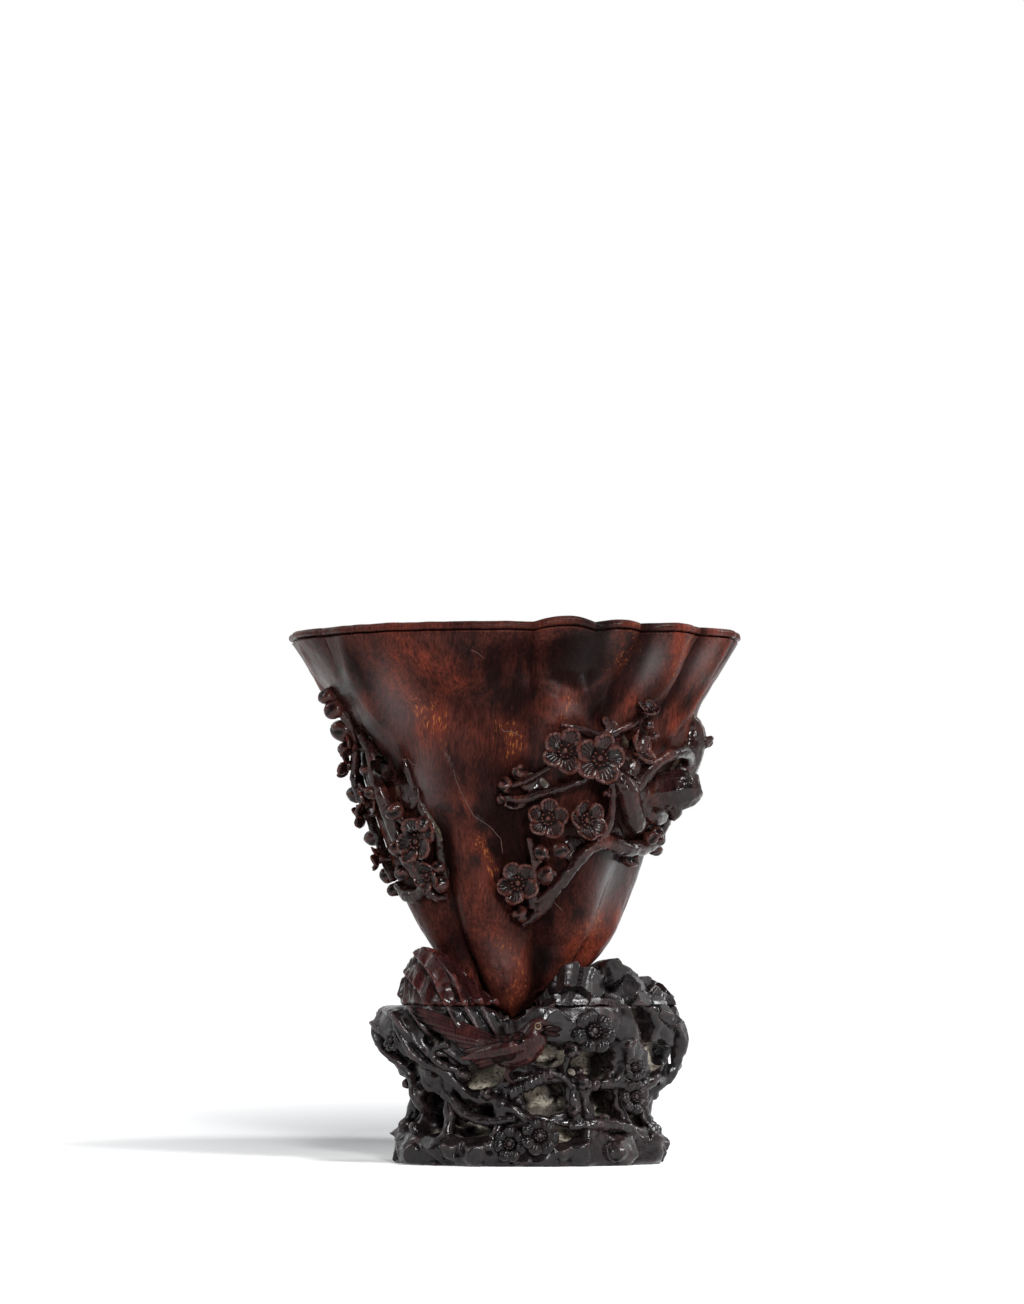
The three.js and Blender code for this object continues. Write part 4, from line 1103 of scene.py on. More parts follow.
    def build(self) -> bpy.types.Object:
        """Models the wall from one rolled sheet.

        Returns:
            The wall.
        """
        form, rows = self.form, self.profile()
        thing, across, along = Bench.sheet(self.columns, len(rows) - 1)
        azimuth = self.azimuths(across)
        row = np.rint(along * (len(rows) - 1)).astype(int)
        kinds = np.array([r[0] for r in rows])[row]
        read, level, out = (np.array([float(r[k]) for r in rows])[row] for k in (1, 2, 3))
        outer, inner = kinds == "wall", kinds == "bowl"
        carved = self.carve(azimuth, read) + self.overlap(azimuth, read)
        radius = np.zeros(len(row))
        radius[outer] = (form.radius(azimuth, read) + carved + out)[outer]
        radius[inner] = (form.bowl(azimuth, read) + 0.5 * carved + out)[inner]
        points = form.place(azimuth, np.maximum(radius, 0), level)
        rough = ripple(points, 9.0, 3) * 0.32 + ripple(points * (1, 1, 0.35), 2.6, 2, 5.0) * 0.10
        lip = outer & (read >= form.height - form.lip - 0.01)
        rough = np.where(kinds == "axis", 0, rough)
        away = np.stack([np.sin(np.radians(azimuth)), -np.cos(np.radians(azimuth)), 0 * azimuth], -1)
        points += away * rough[:, None]
        points[:, 2] += np.where(lip, ripple(away * 20, 2.0, 2, 9.0) * 0.14, 0)
        Bench.move(thing, points)
        Bench.mark(thing, "amber", self.patches(self.amber, azimuth, read, radius) * (kinds != "axis"))
        # The glossier patches, which also carry a painted grey sheen.
        Bench.mark(thing, "slate", self.patches(self.slate, azimuth, read, radius) * outer)
        # Valleys of the carving and the dark patches are marked hollow: painted shade, with some dark stain.
        # Ridges and the warm patches are marked warm: painted light, with some redder tone.
        cut = add_strokes(form.strokes, azimuth, read, through(form.outline, read)) + carved
        cut += add_forms(form.forms, azimuth, read) * 0.6
        dark, warm = (self.patches(spots, azimuth, read, radius) for spots in (self.dark, self.warm))
        Bench.mark(thing, "hollow", np.maximum(ramp(-cut, 0.2, 2.0), dark) * outer)
        Bench.mark(thing, "warm", np.maximum(ramp(cut, 0.1, 1.4), warm) * outer)
        Bench.weld(thing)
        Bench.polish(thing, 4, 2.4)
        return thing

    def build_cracks(self) -> bpy.types.Object:
        """Models the pale hairline cracks as threads pressed into the wall.

        Returns:
            The threads.
        """
        threads = []
        for route in self.cracks:
            stops = []
            for step in np.linspace(0, len(route) - 1, (len(route) - 1) * 3 + 1):
                i = min(int(step), len(route) - 2)
                (a0, h0), (a1, h1) = route[i], route[i + 1]
                a, h = a0 + (a1 - a0) * (step - i), h0 + (h1 - h0) * (step - i)
                moved = float(self.carve(np.array([a]), np.array([h]))[0])
                thick = 0.12 + 0.10 * abs(noise.noise(Vector((a, h, 0))))
                stops.append((self.form.on_wall(a, h, moved + 0.03), thick))
            threads.append(Bench.tube(stops, 4))
        return Bench.join(threads)

    def dress(self, wood: bpy.types.Material, seam: bpy.types.Material) -> None:
        """Builds the wall and its cracks, dresses them and puts them on the cup."""
        Bench.hand_in(self.build(), "carved_cup_wall", Body.CUP, Slot.CUP, wood, ["cup_wall"])
        Bench.hand_in(self.build_cracks(), "hairline_cracks", Body.CUP, Slot.CUP, seam)


# Flowers and buds


@dataclass(frozen=True)
class Flower:
    """An open flower: place as azimuth, height and stand-off, width, and where it looks."""

    name: str
    at: Spot
    wide: float
    face: tuple[float, float]
    cup: float = 0.3
    spin: float = 0.0
    neck: float = 4.0
    node: str = ""

    @property
    def nodes(self) -> tuple[str, ...]:
        """The solid that the flower stands for, if it has one."""
        return (self.node,) if self.node else ()


@dataclass
class BlossomPattern:
    """An open prunus flower of radius 1: grooved petals with rolled rims round a beaded boss."""

    petals: int = 5
    reach: float = 0.585
    length: float = 0.425
    width: float = 0.41
    grooves: int = 6
    groove_from: float = 0.36
    dish: float = 0.04
    rim: float = 0.045
    thick: float = 0.10
    boss: float = 0.12
    beads: int = 11
    bead_ring: float = 0.27
    across: int = 44
    along: int = 34
    made: bpy.types.Object | None = field(default=None, repr=False)

    def petal(self, turn: float, seed: int) -> bpy.types.Object:
        """Models one petal, turned to its place.

        Args:
            turn: Its place round the flower in degrees.
            seed: Makes it its own.

        Returns:
            The petal.
        """
        thing, p, q = Bench.sheet(self.across, self.along)
        p, q = 2 * p - 1, 2 * q - 1
        x, y = p * np.sqrt(1 - q * q / 2), q * np.sqrt(1 - p * p / 2)
        r = np.hypot(x, y)
        out = self.reach + self.length * y
        side = self.width * x * (0.74 + 0.26 * ramp(out, 0.2, 0.75))
        rim = self.rim * bell(r - 0.93, 0.045) * ramp(out, 0.42, 0.62)
        high = self.dish * r * r + rim - 0.05 * ramp(r, 0.96, 1.0)
        fan = np.degrees(np.arctan2(side, out - 0.05)) * self.grooves / (360 / self.petals)
        line = bell(fan - np.rint(fan), 0.17)
        high -= 0.075 * line * ramp(r, 0.86, 0.74) * ramp(out, self.groove_from, self.groove_from + 0.08)
        high += 0.10 * x + 0.03 * math.sin(seed * 2.1)
        swing = turn + 4 * math.sin(seed * 3.7)
        points = np.stack([out * (1 + 0.04 * math.sin(seed * 5.3)), side, high], -1)
        Bench.move(thing, turned_to(points, Vector(), None, swing))
        # Painted shade: the grooves dark, the rest of the petal inside its rim a little dark, and its root
        # by the boss fully dark.
        shade = (0.25 + 0.75 * line) * ramp(r, 0.93, 0.88)
        Bench.mark(thing, "hollow", np.maximum(shade, ramp(out, 0.44, 0.34)))
        Bench.modify(thing, "SOLIDIFY", thickness=self.thick * MM, offset=-1.0)
        return thing

    def template(self) -> bpy.types.Object:
        """The whole flower, modelled once.

        Returns:
            The flower, kept off the scene.
        """
        if self.made is None:
            parts = [self.petal(i * 360 / self.petals, i) for i in range(self.petals)]
            wide = 2 * self.bead_ring
            disc = Bench.ball(Vector((0, 0, 0.03)), (wide * 1.25, wide * 1.25, 0.2), 3)
            # Painted shade on the disc between the beads.
            Bench.mark(disc, "hollow", np.ones(len(disc.data.vertices)))
            parts.append(disc)
            parts.append(Bench.ball(Vector((0, 0, 0.14)), (2 * self.boss, 2 * self.boss, 0.2), 2))
            for i in range(self.beads):
                a = 2 * math.pi * i / self.beads
                at = Vector((math.cos(a), math.sin(a), 0)) * self.bead_ring + Vector((0, 0, 0.13))
                parts.append(Bench.ball(at, (0.11, 0.11, 0.15), 2))
            self.made = Bench.join(parts)
            self.made.name = f"pattern_{self.petals}"
            bpy.context.scene.collection.objects.unlink(self.made)
        return self.made

    def carve(self, flower: Flower, at: Vector) -> bpy.types.Object:
        """Makes one flower from the pattern, cupped, spun and turned to look its own way.

        Args:
            flower: The flower.
            at: Its middle in mm.

        Returns:
            The flower's mesh.
        """
        thing = Bench.copy_of(self.template(), flower.name)
        size = flower.wide / 2
        points = Bench.points(thing)
        away = np.hypot(points[:, 0], points[:, 1])
        round_ = np.arctan2(points[:, 1], points[:, 0])
        seed = sum(map(ord, flower.name))
        points[:, 2] += 0.55 * flower.cup * away ** 1.4
        points[:, 2] += 0.07 * away * np.sin(2 * round_ + seed) + 0.05 * away * np.sin(3 * round_ + 2 * seed)
        points[:, :2] *= (1 - 0.30 * flower.cup * away ** 2)[:, None]
        Bench.move(thing, points * size)
        neck = Bench.tube([
            (Vector((0, 0, -flower.neck)), size * 0.34), (Vector((0, 0, -flower.neck / 2)), size * 0.4),
            (Vector((0, 0, -0.02 * size)), size * 0.7)], 8)
        thing = Bench.join([thing, neck])
        way = facing(*flower.face)
        Bench.move(thing, turned_to(Bench.points(thing), at, way, flower.spin))
        Bench.polish(thing, 1, 1.2, 60)
        return thing


def bud(at: Vector, wide: float, way: Vector, finer: int = 3) -> bpy.types.Object:
    """Models a closed bud with the seams of its petals and the cups of its calyx.

    Args:
        at: Its middle in mm.
        wide: Its width in mm.
        way: Where its tip points.
        finer: How finely it is divided.

    Returns:
        The bud.
    """
    thing = Bench.ball(Vector(), (1, 1, 1.1), finer)
    points = Bench.points(thing)
    turn = np.arctan2(points[:, 1], points[:, 0]) + math.sin(wide * 9)
    up = points[:, 2] / 0.55
    lobe = np.abs(np.cos(1.5 * turn + 0.9 * up)) ** 0.5
    shrink = 1 + 0.10 * ramp(up, -0.1, -0.4) - 0.34 * (1 - lobe) * ramp(up, -0.4, 0.2)
    points[:, :2] *= shrink[:, None]
    points[:, 2] -= 0.18 * (1 - lobe) * ramp(up, 0.3, 0.9)
    Bench.move(thing, turned_to(points * wide, at, way))
    # Painted shade in the seams between the petals, towards the tip.
    Bench.mark(thing, "hollow", ramp(1 - lobe, 0.2, 0.6) * ramp(up, -0.5, 0.0))
    return thing


# Sprays on the cup


@dataclass(frozen=True)
class Spray:
    """Limbs as routes of azimuth, height, stand-off and thickness, with buds and lumps on them."""

    name: str
    nodes: tuple[str, ...]
    limbs: tuple[tuple[Stop, ...], ...]
    buds: tuple[Stop, ...] = ()
    lumps: tuple[tuple[float, float, float, float, float, float], ...] = ()
    dents: tuple[tuple[Stop, Stop], ...] = ()
    voxel: float = 0.36
    bark: float = 0.22


@dataclass
class SprayCarver:
    """Carves sprays onto a body by a rule that turns azimuth, height and stand-off into a place."""

    place: Callable[[float, float, float], Vector]
    lift_of: Callable[[Array], Array]
    axis: Vector

    def away(self, at: Vector) -> Vector:
        """The level way out from the body's axis at a place."""
        way = Vector((at.x - self.axis.x, at.y - self.axis.y, 0))
        return way.normalized()

    def limb(self, route: Sequence[Stop], sides: int = 10) -> bpy.types.Object:
        """Models one limb along its route, a little knotted.

        Args:
            route: Stops of azimuth, height, stand-off and thickness.
            sides: Faces round the limb.

        Returns:
            The limb.
        """
        stops = []
        for azimuth, height, lift, thick in route:
            at = self.place(azimuth, height, lift)
            stops.append((at, thick * (1 + 0.10 * noise.noise(at * 0.35))))
        return Bench.tube(stops, sides)

    def carve(self, spray: Spray) -> bpy.types.Object:
        """Melts a spray's limbs and lumps into one skin and sets its buds on them.

        Args:
            spray: The spray.

        Returns:
            The spray's mesh.
        """
        parts = [self.limb(route) for route in spray.limbs]
        for azimuth, height, lift, wide, tall, deep in spray.lumps:
            at = self.place(azimuth, height, lift)
            parts.append(Bench.ball(at, (wide, tall, deep), 3, self.away(at)))
        thing = Bench.join(parts)
        Bench.skin(thing, spray.voxel, 2)
        points, normals = Bench.points(thing), Bench.normals(thing)
        wave = ripple(points, 5.0, 3) * spray.bark * 1.6 + ripple(points, 1.6, 2, 7.0) * spray.bark * 0.6
        points += normals * wave[:, None]
        for start, end in spray.dents:
            points = self.dent(points, self.place(*start[:3]), self.place(*end[:3]), start[3] / 2, end[3])
        Bench.move(thing, points)
        buds = []
        for azimuth, height, lift, wide in spray.buds:
            at = self.place(azimuth, height, lift)
            lean = Vector((0.4 * math.sin(height), 0.2, 0.5 * math.cos(azimuth)))
            buds.append(bud(at, wide, (self.away(at) + lean).normalized()))
        thing = Bench.join([thing, *buds])
        Bench.polish(thing, 3, 1.7)
        points = Bench.points(thing)
        speck = ramp(ripple(points, 4.0, 2, 3.0), 0, 0.3)
        Bench.mark(thing, "dust", 0.6 * ramp(self.lift_of(points), 1.6, 0.2) * speck)
        return thing

    @staticmethod
    def dent(points: Array, mouth: Vector, inside: Vector, radius: float, depth: float) -> Array:
        """Pushes a round hollow into points.

        Args:
            points: Places in mm.
            mouth: The middle of its mouth.
            inside: A place that it goes towards.
            radius: Half its width in mm.
            depth: Its depth in mm.

        Returns:
            The new places.
        """
        way = np.array((inside - mouth).normalized())
        offset = points - np.array(mouth)
        along = offset @ way
        off = np.linalg.norm(offset - along[:, None] * way, axis=1)
        reach = np.clip(1 - (off / radius) ** 4, 0, 1) * (np.abs(along) < depth)
        lip = 0.35 * bell(off - radius * 1.1, radius * 0.25) * (np.abs(along) < radius)
        return points + way * (reach * depth - lip)[:, None]


CUP_FLOWERS = (
    Flower("blossom_upper_left", (15, 72.2, 6), 13, (6, 4), 0.22, 0, 4, "front_blossom_upper_left"),
    Flower("blossom_upper_mid", (25, 70.3, 9), 14.4, (16, -4), 0.22, 20, 5, "front_blossom_upper_mid"),
    Flower("blossom_fan", (42, 73, 4.5), 12, (64, 22), 0.5, 10, 5, "front_blossom_fan"),
    Flower("blossom_top", (42, 83.6, 3), 8, (34, 48), 0.6, 0, 4, "front_blossom_top"),
    Flower("blossom_mid_left", (11, 53.9, 7), 12, (2, 8), 0.34, 12, 6, "front_blossom_mid_left"),
    Flower("blossom_mid_right", (23, 53.4, 9), 13, (34, 6), 0.55, 0, 8, "front_blossom_mid_right"),
    Flower("blossom_low", (1, 36.6, 6), 12.6, (-14, 4), 0.3, 30, 5, "front_blossom_low"),
    Flower("blossom_left_top", (-73, 75, 3.4), 9.4, (-90, 14), 0.6, 0, 4, "left_blossom_top"),
    Flower("blossom_left_side", (-70, 60, 4), 10.4, (-84, 8), 0.5, 0, 4, "left_blossom_side"),
    Flower("blossom_left_edge_upper", (-84, 70, 3.6), 9, (-100, 10), 0.6, 20, 4),
    Flower("blossom_left_edge_mid", (-86, 56, 3.4), 8.4, (-98, -8), 0.7, 0, 4),
    Flower("blossom_left_edge_low", (-84, 44, 3.2), 8, (-96, 0), 0.6, 40, 4),
    Flower("open_pod", (-50, 66.6, 3.8), 11.6, (-30, 26), 1.9, 0, 5, "left_pod"),
    Flower("blossom_left_upper", (-44, 48, 4), 14, (-36, 10), 0.34, 0, 4, "left_blossom_upper"),
    Flower("blossom_left_low", (-42, 39.4, 4), 11, (-48, -20), 0.5, 0, 5, "left_blossom_low"),
    Flower("blossom_back_upper", (168, 74, 5), 13.4, (172, 6), 0.3, 0, 5, "back_blossom_upper"),
    Flower("blossom_back_low", (212, 52, 5), 12.6, (214, 4), 0.3, 0, 5, "back_blossom_low"),
)

CUP_SPRAYS = (
    Spray(
        "thick_limb", ("front_limb", "front_bud_stem"),
        (
            ((4, 25, 1.2, 2.0), (12, 29, 2, 3.2), (17, 34, 3, 3.4), (24, 41, 3.5, 3.6), (29, 46, 4, 4.4),
             (36, 48, 4.5, 4.6), (48, 46.5, 4, 4.6), (64, 47, 3, 4.6), (82, 50, 2.5, 4.6)),
            ((9, 31.5, 3, 1.8), (16, 35, 4, 2.6), (22, 40, 4, 2.8)),
            ((31, 69, 7.5, 2.0), (33, 62, 7, 2.4), (35, 55, 6, 2.8), (33, 47, 4, 3.6)),
            ((5, 49, 5, 1.4), (7, 43, 5.5, 1.8), (7, 38, 5.5, 2), (8, 30, 2.4, 2.2)),
            ((7, 41, 5.5, 1.2), (10, 43, 6.2, 1.4)), ((8, 36, 5, 1.2), (12, 38, 5, 1.4)),
        ),
        ((60, 43.4, 2.5, 4.4), (64, 49.6, 4.5, 4.2), (31, 66, 8.5, 4.6), (10, 44.8, 6.8, 4.6),
         (17, 45.6, 6.4, 5), (13, 39, 5, 5.4), (2, 28.4, 3.4, 5.0), (30, 61, 8.4, 2.4)),
        ((26, 46, 0.4, 9, 8, 3), (12, 32, 0, 7, 5, 2), (44, 50, 1, 10, 8, 4)),
    ),
    Spray(
        "budding_twig", ("front_twig",),
        (
            ((-6, 60, 1, 1.6), (2, 59.4, 2.4, 2.6), (10, 61, 3.4, 2.6), (20, 63.6, 5, 2.4),
             (28, 67.4, 5.5, 2)),
            ((-4, 62.6, 3, 1.4), (4, 64.6, 2.8, 1.8), (12, 68, 2, 1.8)),
            ((-5, 58, 1.4, 1.2), (-1, 57, 1.8, 1.4), (5, 59, 2, 1.6)),
        ),
        ((-4, 63.2, 3.4, 4.4), (1, 66.8, 3.4, 4.4), (-6, 59.6, 2.4, 2.8)),
        ((8, 64, 0.2, 12, 6, 2.2),),
    ),
    Spray(
        "gnarled_trunk", ("drooping_spur", "arching_limb", "hollow_stump"),
        (
            ((34, 66, 6, 5.4), (37, 62.4, 8.2, 6.6), (40, 58, 8.6, 6.4), (43.4, 53.8, 8.2, 6.2),
             (44.6, 52, 8.0, 5.2), (45.2, 51, 7.8, 3)),
            ((36, 64, 5, 5), (47, 62, 3, 6), (56, 61, 1.5, 6)),
            ((40, 61, 7, 5), (45, 65.6, 6.6, 4.4), (50, 69.6, 6.8, 3.8), (57, 72.4, 7.2, 3.4),
             (68, 72.6, 5.6, 3.4), (84, 70.6, 2.6, 4)),
            ((80, 83.6, -2, 5), (84, 79, -0.6, 8.2), (85, 73, 0.6, 10.4), (84, 67, 1.4, 10.4),
             (80, 60, 1.2, 8)),
            ((84, 76, 4, 3.4), (86, 78, 5.6, 1.2)),
            ((56, 60.5, -1, 10.6), (60, 61.5, 4, 12.0), (62, 62.4, 9, 11.8), (64.2, 63, 12, 10.2),
             (65, 63.3, 13.6, 7.4), (65.3, 63.4, 14.4, 4)),
            ((61, 59, 9, 6), (61.6, 56.4, 10, 4.4), (62, 54.2, 10, 2.2)),
            ((41, 66, 4, 6), (44, 72, 3, 5), (47, 77, 2, 4)),
            ((50, 60, 2, 7), (64, 56, 3, 6), (76, 56, 2, 5)),
        ),
        ((30, 66, 8.8, 5.2), (66, 51, 5, 3.6), (74, 49, 4, 3.4), (86, 76.6, 4.6, 3.2)),
        ((44, 68, 1, 12, 8, 4), (58, 56, 1, 12, 10, 4), (70, 60, 1, 12, 12, 4)),
        (((65.6, 64, 14.6, 5.4), (61.5, 62.4, 7, 5.0)),),
        voxel=0.3, bark=0.17,
    ),
    Spray(
        "ridge_twig", ("top_ridge_twig",),
        (
            ((14, 79.4, 0.2, 1.8), (22, 78, 1.0, 2.6), (30, 76.8, 1.4, 2.8), (38, 79, 1.6, 2.6),
             (46, 83, 1, 2)),
            ((26, 77, 1.0, 2.4), (34, 74, 1.6, 3), (42, 70, 3, 3)),
        ),
        ((46, 80, 3, 3.4), (50, 77, 3, 3.0)),
        ((36, 77, 0.2, 14, 5, 2.4),),
    ),
    Spray(
        "left_limb_carved", ("left_limb",),
        (
            ((-66, 78, 1.6, 2.4), (-61, 72, 2.4, 3.6), (-60, 66, 3.2, 4.0), (-58, 59, 3, 4.2),
             (-57, 52, 2.4, 4.2), (-54, 43, 2, 4.2), (-50, 36, 1.6, 4.4), (-62, 33.6, 1.4, 3.4),
             (-76, 37, 1.2, 2.6)),
            ((-50, 36, 1.4, 4), (-44, 33, 1.4, 3), (-38, 33.4, 1.2, 2.0)),
            ((-64, 70, 2.6, 1.8), (-62, 64, 4, 2.6), (-61, 60, 4.4, 1.8)),
            ((-58, 57, 3, 2), (-52, 55, 3.4, 2.4), (-46, 52, 3, 2.2)),
        ),
        ((-52, 56.6, 4.0, 5.2), (-38, 36.6, 2.6, 4.6), (-40, 52.6, 3.2, 5.0), (-55, 46.4, 4, 4.8),
         (-62, 62, 5, 3.6), (-64, 68, 4, 3.4), (-48, 43, 4, 3.6), (-36, 41, 3, 4.0), (-58, 40, 3, 4.4)),
        ((-52, 50, 0.2, 12, 16, 3), (-48, 62, 0.2, 9, 12, 3)),
    ),
    Spray(
        "left_outer_twig_carved", ("left_outer_twig",),
        (
            ((-73, 91, 1, 1.8), (-71, 84, 1.4, 2.6), (-73, 77, 1.8, 2.8), (-82, 70, 1.8, 3),
             (-88, 61, 1.8, 3), (-88, 52, 1.8, 3), (-86, 44, 1.6, 3), (-80, 38, 1.4, 2.4)),
            ((-76, 74, 2, 2), (-80, 66, 3.4, 2.2), (-80, 60, 3.4, 2)),
        ),
        ((-73, 88.6, 2.4, 4.6), (-72, 85, 3, 5.6), (-76, 79.6, 3.6, 6.4), (-80, 74.6, 4.2, 4.4),
         (-87, 62, 4, 4.6), (-90, 50, 3.4, 4.6), (-88, 39.6, 3, 4.4), (-84, 35.4, 2.4, 3.8)),
        ((-82, 60, 0.4, 8, 26, 3),),
    ),
    Spray(
        "left_ground_edge", ("left_ground_rim",),
        (
            ((-44, 71, 0, 2.0), (-43, 62, 0.4, 2.8), (-40, 55.6, 0.4, 2.8), (-36, 50, 0.4, 2.8),
             (-36, 43, 0.4, 2.8), (-37, 37, 0, 2.0)),
        ),
    ),
    Spray(
        "back_limb_carved", ("back_limb",),
        (
            ((93, 51, 2.4, 4.6), (108, 54, 2.6, 5.0), (124, 53, 2.4, 4.8), (140, 50, 2.2, 4.4),
             (154, 52, 2.2, 4), (162, 60, 2.4, 3.4), (165, 68, 2.6, 2.6)),
            ((112, 55, 2, 3), (118, 62, 3, 2.6), (126, 68, 2, 1.6)),
            ((140, 50, 2, 3), (144, 43, 3, 2.4), (152, 38, 1.6, 1.6)),
            ((93, 51, 2, 4.6), (88, 56, 2, 5), (84, 62, 1.6, 5)),
        ),
        ((112, 58, 3.4, 5), (156, 58, 3.6, 5), (126, 69, 3, 4.4), (120, 65, 4, 3.6), (152, 37, 2.6, 4.2),
         (134, 54, 4, 4), (98, 47, 3.4, 4)),
        ((104, 54, 0.4, 14, 8, 3), (130, 50, 0.2, 12, 6, 2.4)),
    ),
    Spray(
        "back_twig_carved", ("back_twig",),
        (
            ((252, 44, 2, 3.6), (236, 46, 2.4, 3.4), (222, 46, 2.4, 3.2), (205, 44, 2, 2.6),
             (196, 48, 1.8, 1.8)),
            ((232, 46, 2, 2.4), (228, 54, 3, 2.2), (226, 62, 2, 1.4)),
            ((252, 44, 2, 3.4), (262, 46, 2, 3.4), (270, 44, 1.6, 3)),
        ),
        ((236, 49, 3.2, 5), (196, 50, 2.6, 5), (226, 63, 3, 4.4), (244, 42, 4, 4), (216, 43, 3.6, 4)),
        ((240, 45, 0.2, 12, 6, 2.4),),
    ),
)


@dataclass
class CupSprays:
    """All that grows on the cup's wall."""

    form: CupForm

    def dress(self, wood: bpy.types.Material) -> None:
        """Builds the sprays and the open flowers, dresses them and puts them on the cup.

        Args:
            wood: Their finish.
        """
        axis = Vector((self.form.axis_x, 0, 0))
        carver = SprayCarver(self.form.on_wall, self.form.lift_of, axis)
        for spray in CUP_SPRAYS:
            Bench.hand_in(carver.carve(spray), spray.name, Body.CUP, Slot.SPRAY, wood, spray.nodes)
        pattern = BlossomPattern()
        for flower in CUP_FLOWERS:
            made = pattern.carve(flower, self.form.on_wall(*flower.at))
            Bench.hand_in(made, flower.name, Body.CUP, Slot.SPRAY, wood, flower.nodes)


# The stand


@dataclass
class BlockForm:
    """The lower block's outline and knobs, by azimuth from the front and height."""

    seam: float = 43.5
    centre_x: float = 0.5
    depth: float = 0.72
    wave: float = 0.8
    outline: Stations = ((0, 37.2), (5.5, 36.8), (15, 32.6), (29.25, 37.4), (38.5, 41.6), (43.5, 40.8))
    forms: tuple[Form, ...] = (
        Form(-70, 36, 15, 7, 2.6), Form(-80, 15, 18, 6, -3), Form(-56, 20, 9, 4, 3),
        Form(-36, 20, 10, 6, -3),
        Form(-20, 9, 12, 5, -2.5), Form(6, 24, 16, 7, -3.2), Form(30, 30, 12, 6, -2.4),
        Form(78, 26, 14, 6, 3.4),
        Form(96, 12, 12, 5, -2), Form(130, 26, 14, 8, 2.8), Form(168, 16, 14, 6, -3),
        Form(200, 30, 16, 7, 2.4),
        Form(236, 14, 12, 5, -2.4), Form(262, 28, 12, 6, -2),
    )

    def radius(self, azimuth: Array | float, height: Array | float) -> Array:
        """Half width of the block's face.

        Args:
            azimuth: Azimuth from the front.
            height: Height above the table.

        Returns:
            The half width in mm.
        """
        azimuth, height = np.broadcast_arrays(np.asarray(azimuth, float), np.asarray(height, float))
        wave = np.sin(np.radians(azimuth * 11 + height * 9))
        return through(self.outline, height) + add_forms(self.forms, azimuth, height) + self.wave * wave

    def place(self, azimuth: Array | float, radius: Array | float, height: Array | float) -> Array:
        """Turns azimuth, radius and height into places.

        Args:
            azimuth: Azimuth from the front.
            radius: Half width there.
            height: Height above the table.

        Returns:
            The places in mm.
        """
        a = np.radians(azimuth)
        x = self.centre_x + radius * np.sin(a)
        return np.stack(np.broadcast_arrays(x, -radius * self.depth * np.cos(a), height), axis=-1)

    def on_block(self, azimuth: float, height: float, lift: float = 0.0) -> Vector:
        """A place on the block's face, or stood off from it."""
        return Vector(self.place(azimuth, float(self.radius(azimuth, height)) + lift, height))

    def lift_of(self, points: Array) -> Array:
        """How far places stand off the block's face."""
        x, y = points[:, 0] - self.centre_x, points[:, 1] / self.depth
        return np.hypot(x, y) - self.radius(np.degrees(np.arctan2(x, -y)), points[:, 2])


BLOCK_HOLLOWS = (
    (-54, 14, 12, 11, 13), (-28, 13, 13, 10.6, 13), (-22, 24.6, 18, 8, 10), (8, 18.6, 12.6, 10.4, 12),
    (8, 30.4, 12, 7, 9), (29, 28.4, 14, 12, 11), (35, 16, 14, 11.4, 12), (17, 8.2, 12, 5, 9),
    (52, 38, 16, 7, 10), (63, 14, 8, 8, 15), (88, 31, 13, 12, 10), (108, 17, 14, 12, 12),
    (142, 13, 13, 9.6, 10), (148, 31, 16, 11, 11), (184, 33.6, 15, 9, 10), (216, 23, 14, 12.6, 11),
    (242, 34.4, 15, 9, 10), (254, 15.4, 14, 11, 11), (-84, 28, 12, 12, 9), (-66, 24, 8, 7, 8),
    (-44, 27, 7, 6, 8), (-6, 8, 9, 5, 7), (50, 25, 8, 7, 8), (68, 30, 9, 7, 8), (-40, 36, 8, 5, 7),
    (180, 12, 12, 8, 9), (200, 9, 8, 6, 8), (126, 22, 8, 7, 8), (166, 26, 9, 7, 8), (232, 26, 7, 6, 8),
    (272, 20, 8, 8, 8), (160, 38, 9, 6, 7), (78, 10, 8, 7, 8),
)


@dataclass(frozen=True)
class Facets:
    """Flat chisel cuts, shared by the rocks above and below the seam so that they run on across it."""

    middles: Array
    ways: Array
    cut: float = 1.8
    fill: float = 1.1

    @staticmethod
    def over(rocks: Sequence[bpy.types.Object], spacing: float, seed: int) -> Facets:
        """Spreads flat cuts over some rocks.

        Args:
            rocks: The rocks, not yet cut.
            spacing: The least distance between two cuts' middles, in mm.
            seed: Chooses the pattern.

        Returns:
            The cuts.
        """
        points = np.vstack([Bench.points(rock) for rock in rocks])
        normals = np.vstack([Bench.normals(rock) for rock in rocks])
        rng = np.random.default_rng(seed)
        middles, ways = [], []
        for pick in rng.permutation(len(points))[:6000]:
            spot = points[pick]
            if normals[pick, 2] < -0.3 or any(np.linalg.norm(spot - other) < spacing for other in middles):
                continue
            near = np.linalg.norm(points - spot, axis=1) < spacing * 0.55
            way = normals[near & (normals @ normals[pick] > 0)].mean(0) + rng.normal(0, 0.20, 3)
            way /= np.linalg.norm(way)
            middles.append(spot + way * rng.uniform(-0.45, 0.35))
            ways.append(way)
        return Facets(np.array(middles), np.array(ways))

    def press(self, points: Array, normals: Array, share: Array) -> Array:
        """Flattens points onto the nearest cut.

        Args:
            points: Places in mm.
            normals: The surface's direction at each.
            share: How much each is flattened, from 0 to 1.

        Returns:
            The new places.
        """
        moved = points.copy()
        for start in range(0, len(points), 20000):
            part = slice(start, start + 20000)
            gap = np.linalg.norm(points[part, None, :] - self.middles[None], axis=2)
            which = np.argmin(gap, axis=1)
            way = self.ways[which]
            off = ((points[part] - self.middles[which]) * way).sum(1)
            turned = ramp((normals[part] * way).sum(1), 0.1, 0.5)
            step = np.clip(off, -self.fill, self.cut) * share[part] * turned
            moved[part] = points[part] - way * step[:, None]
        return moved


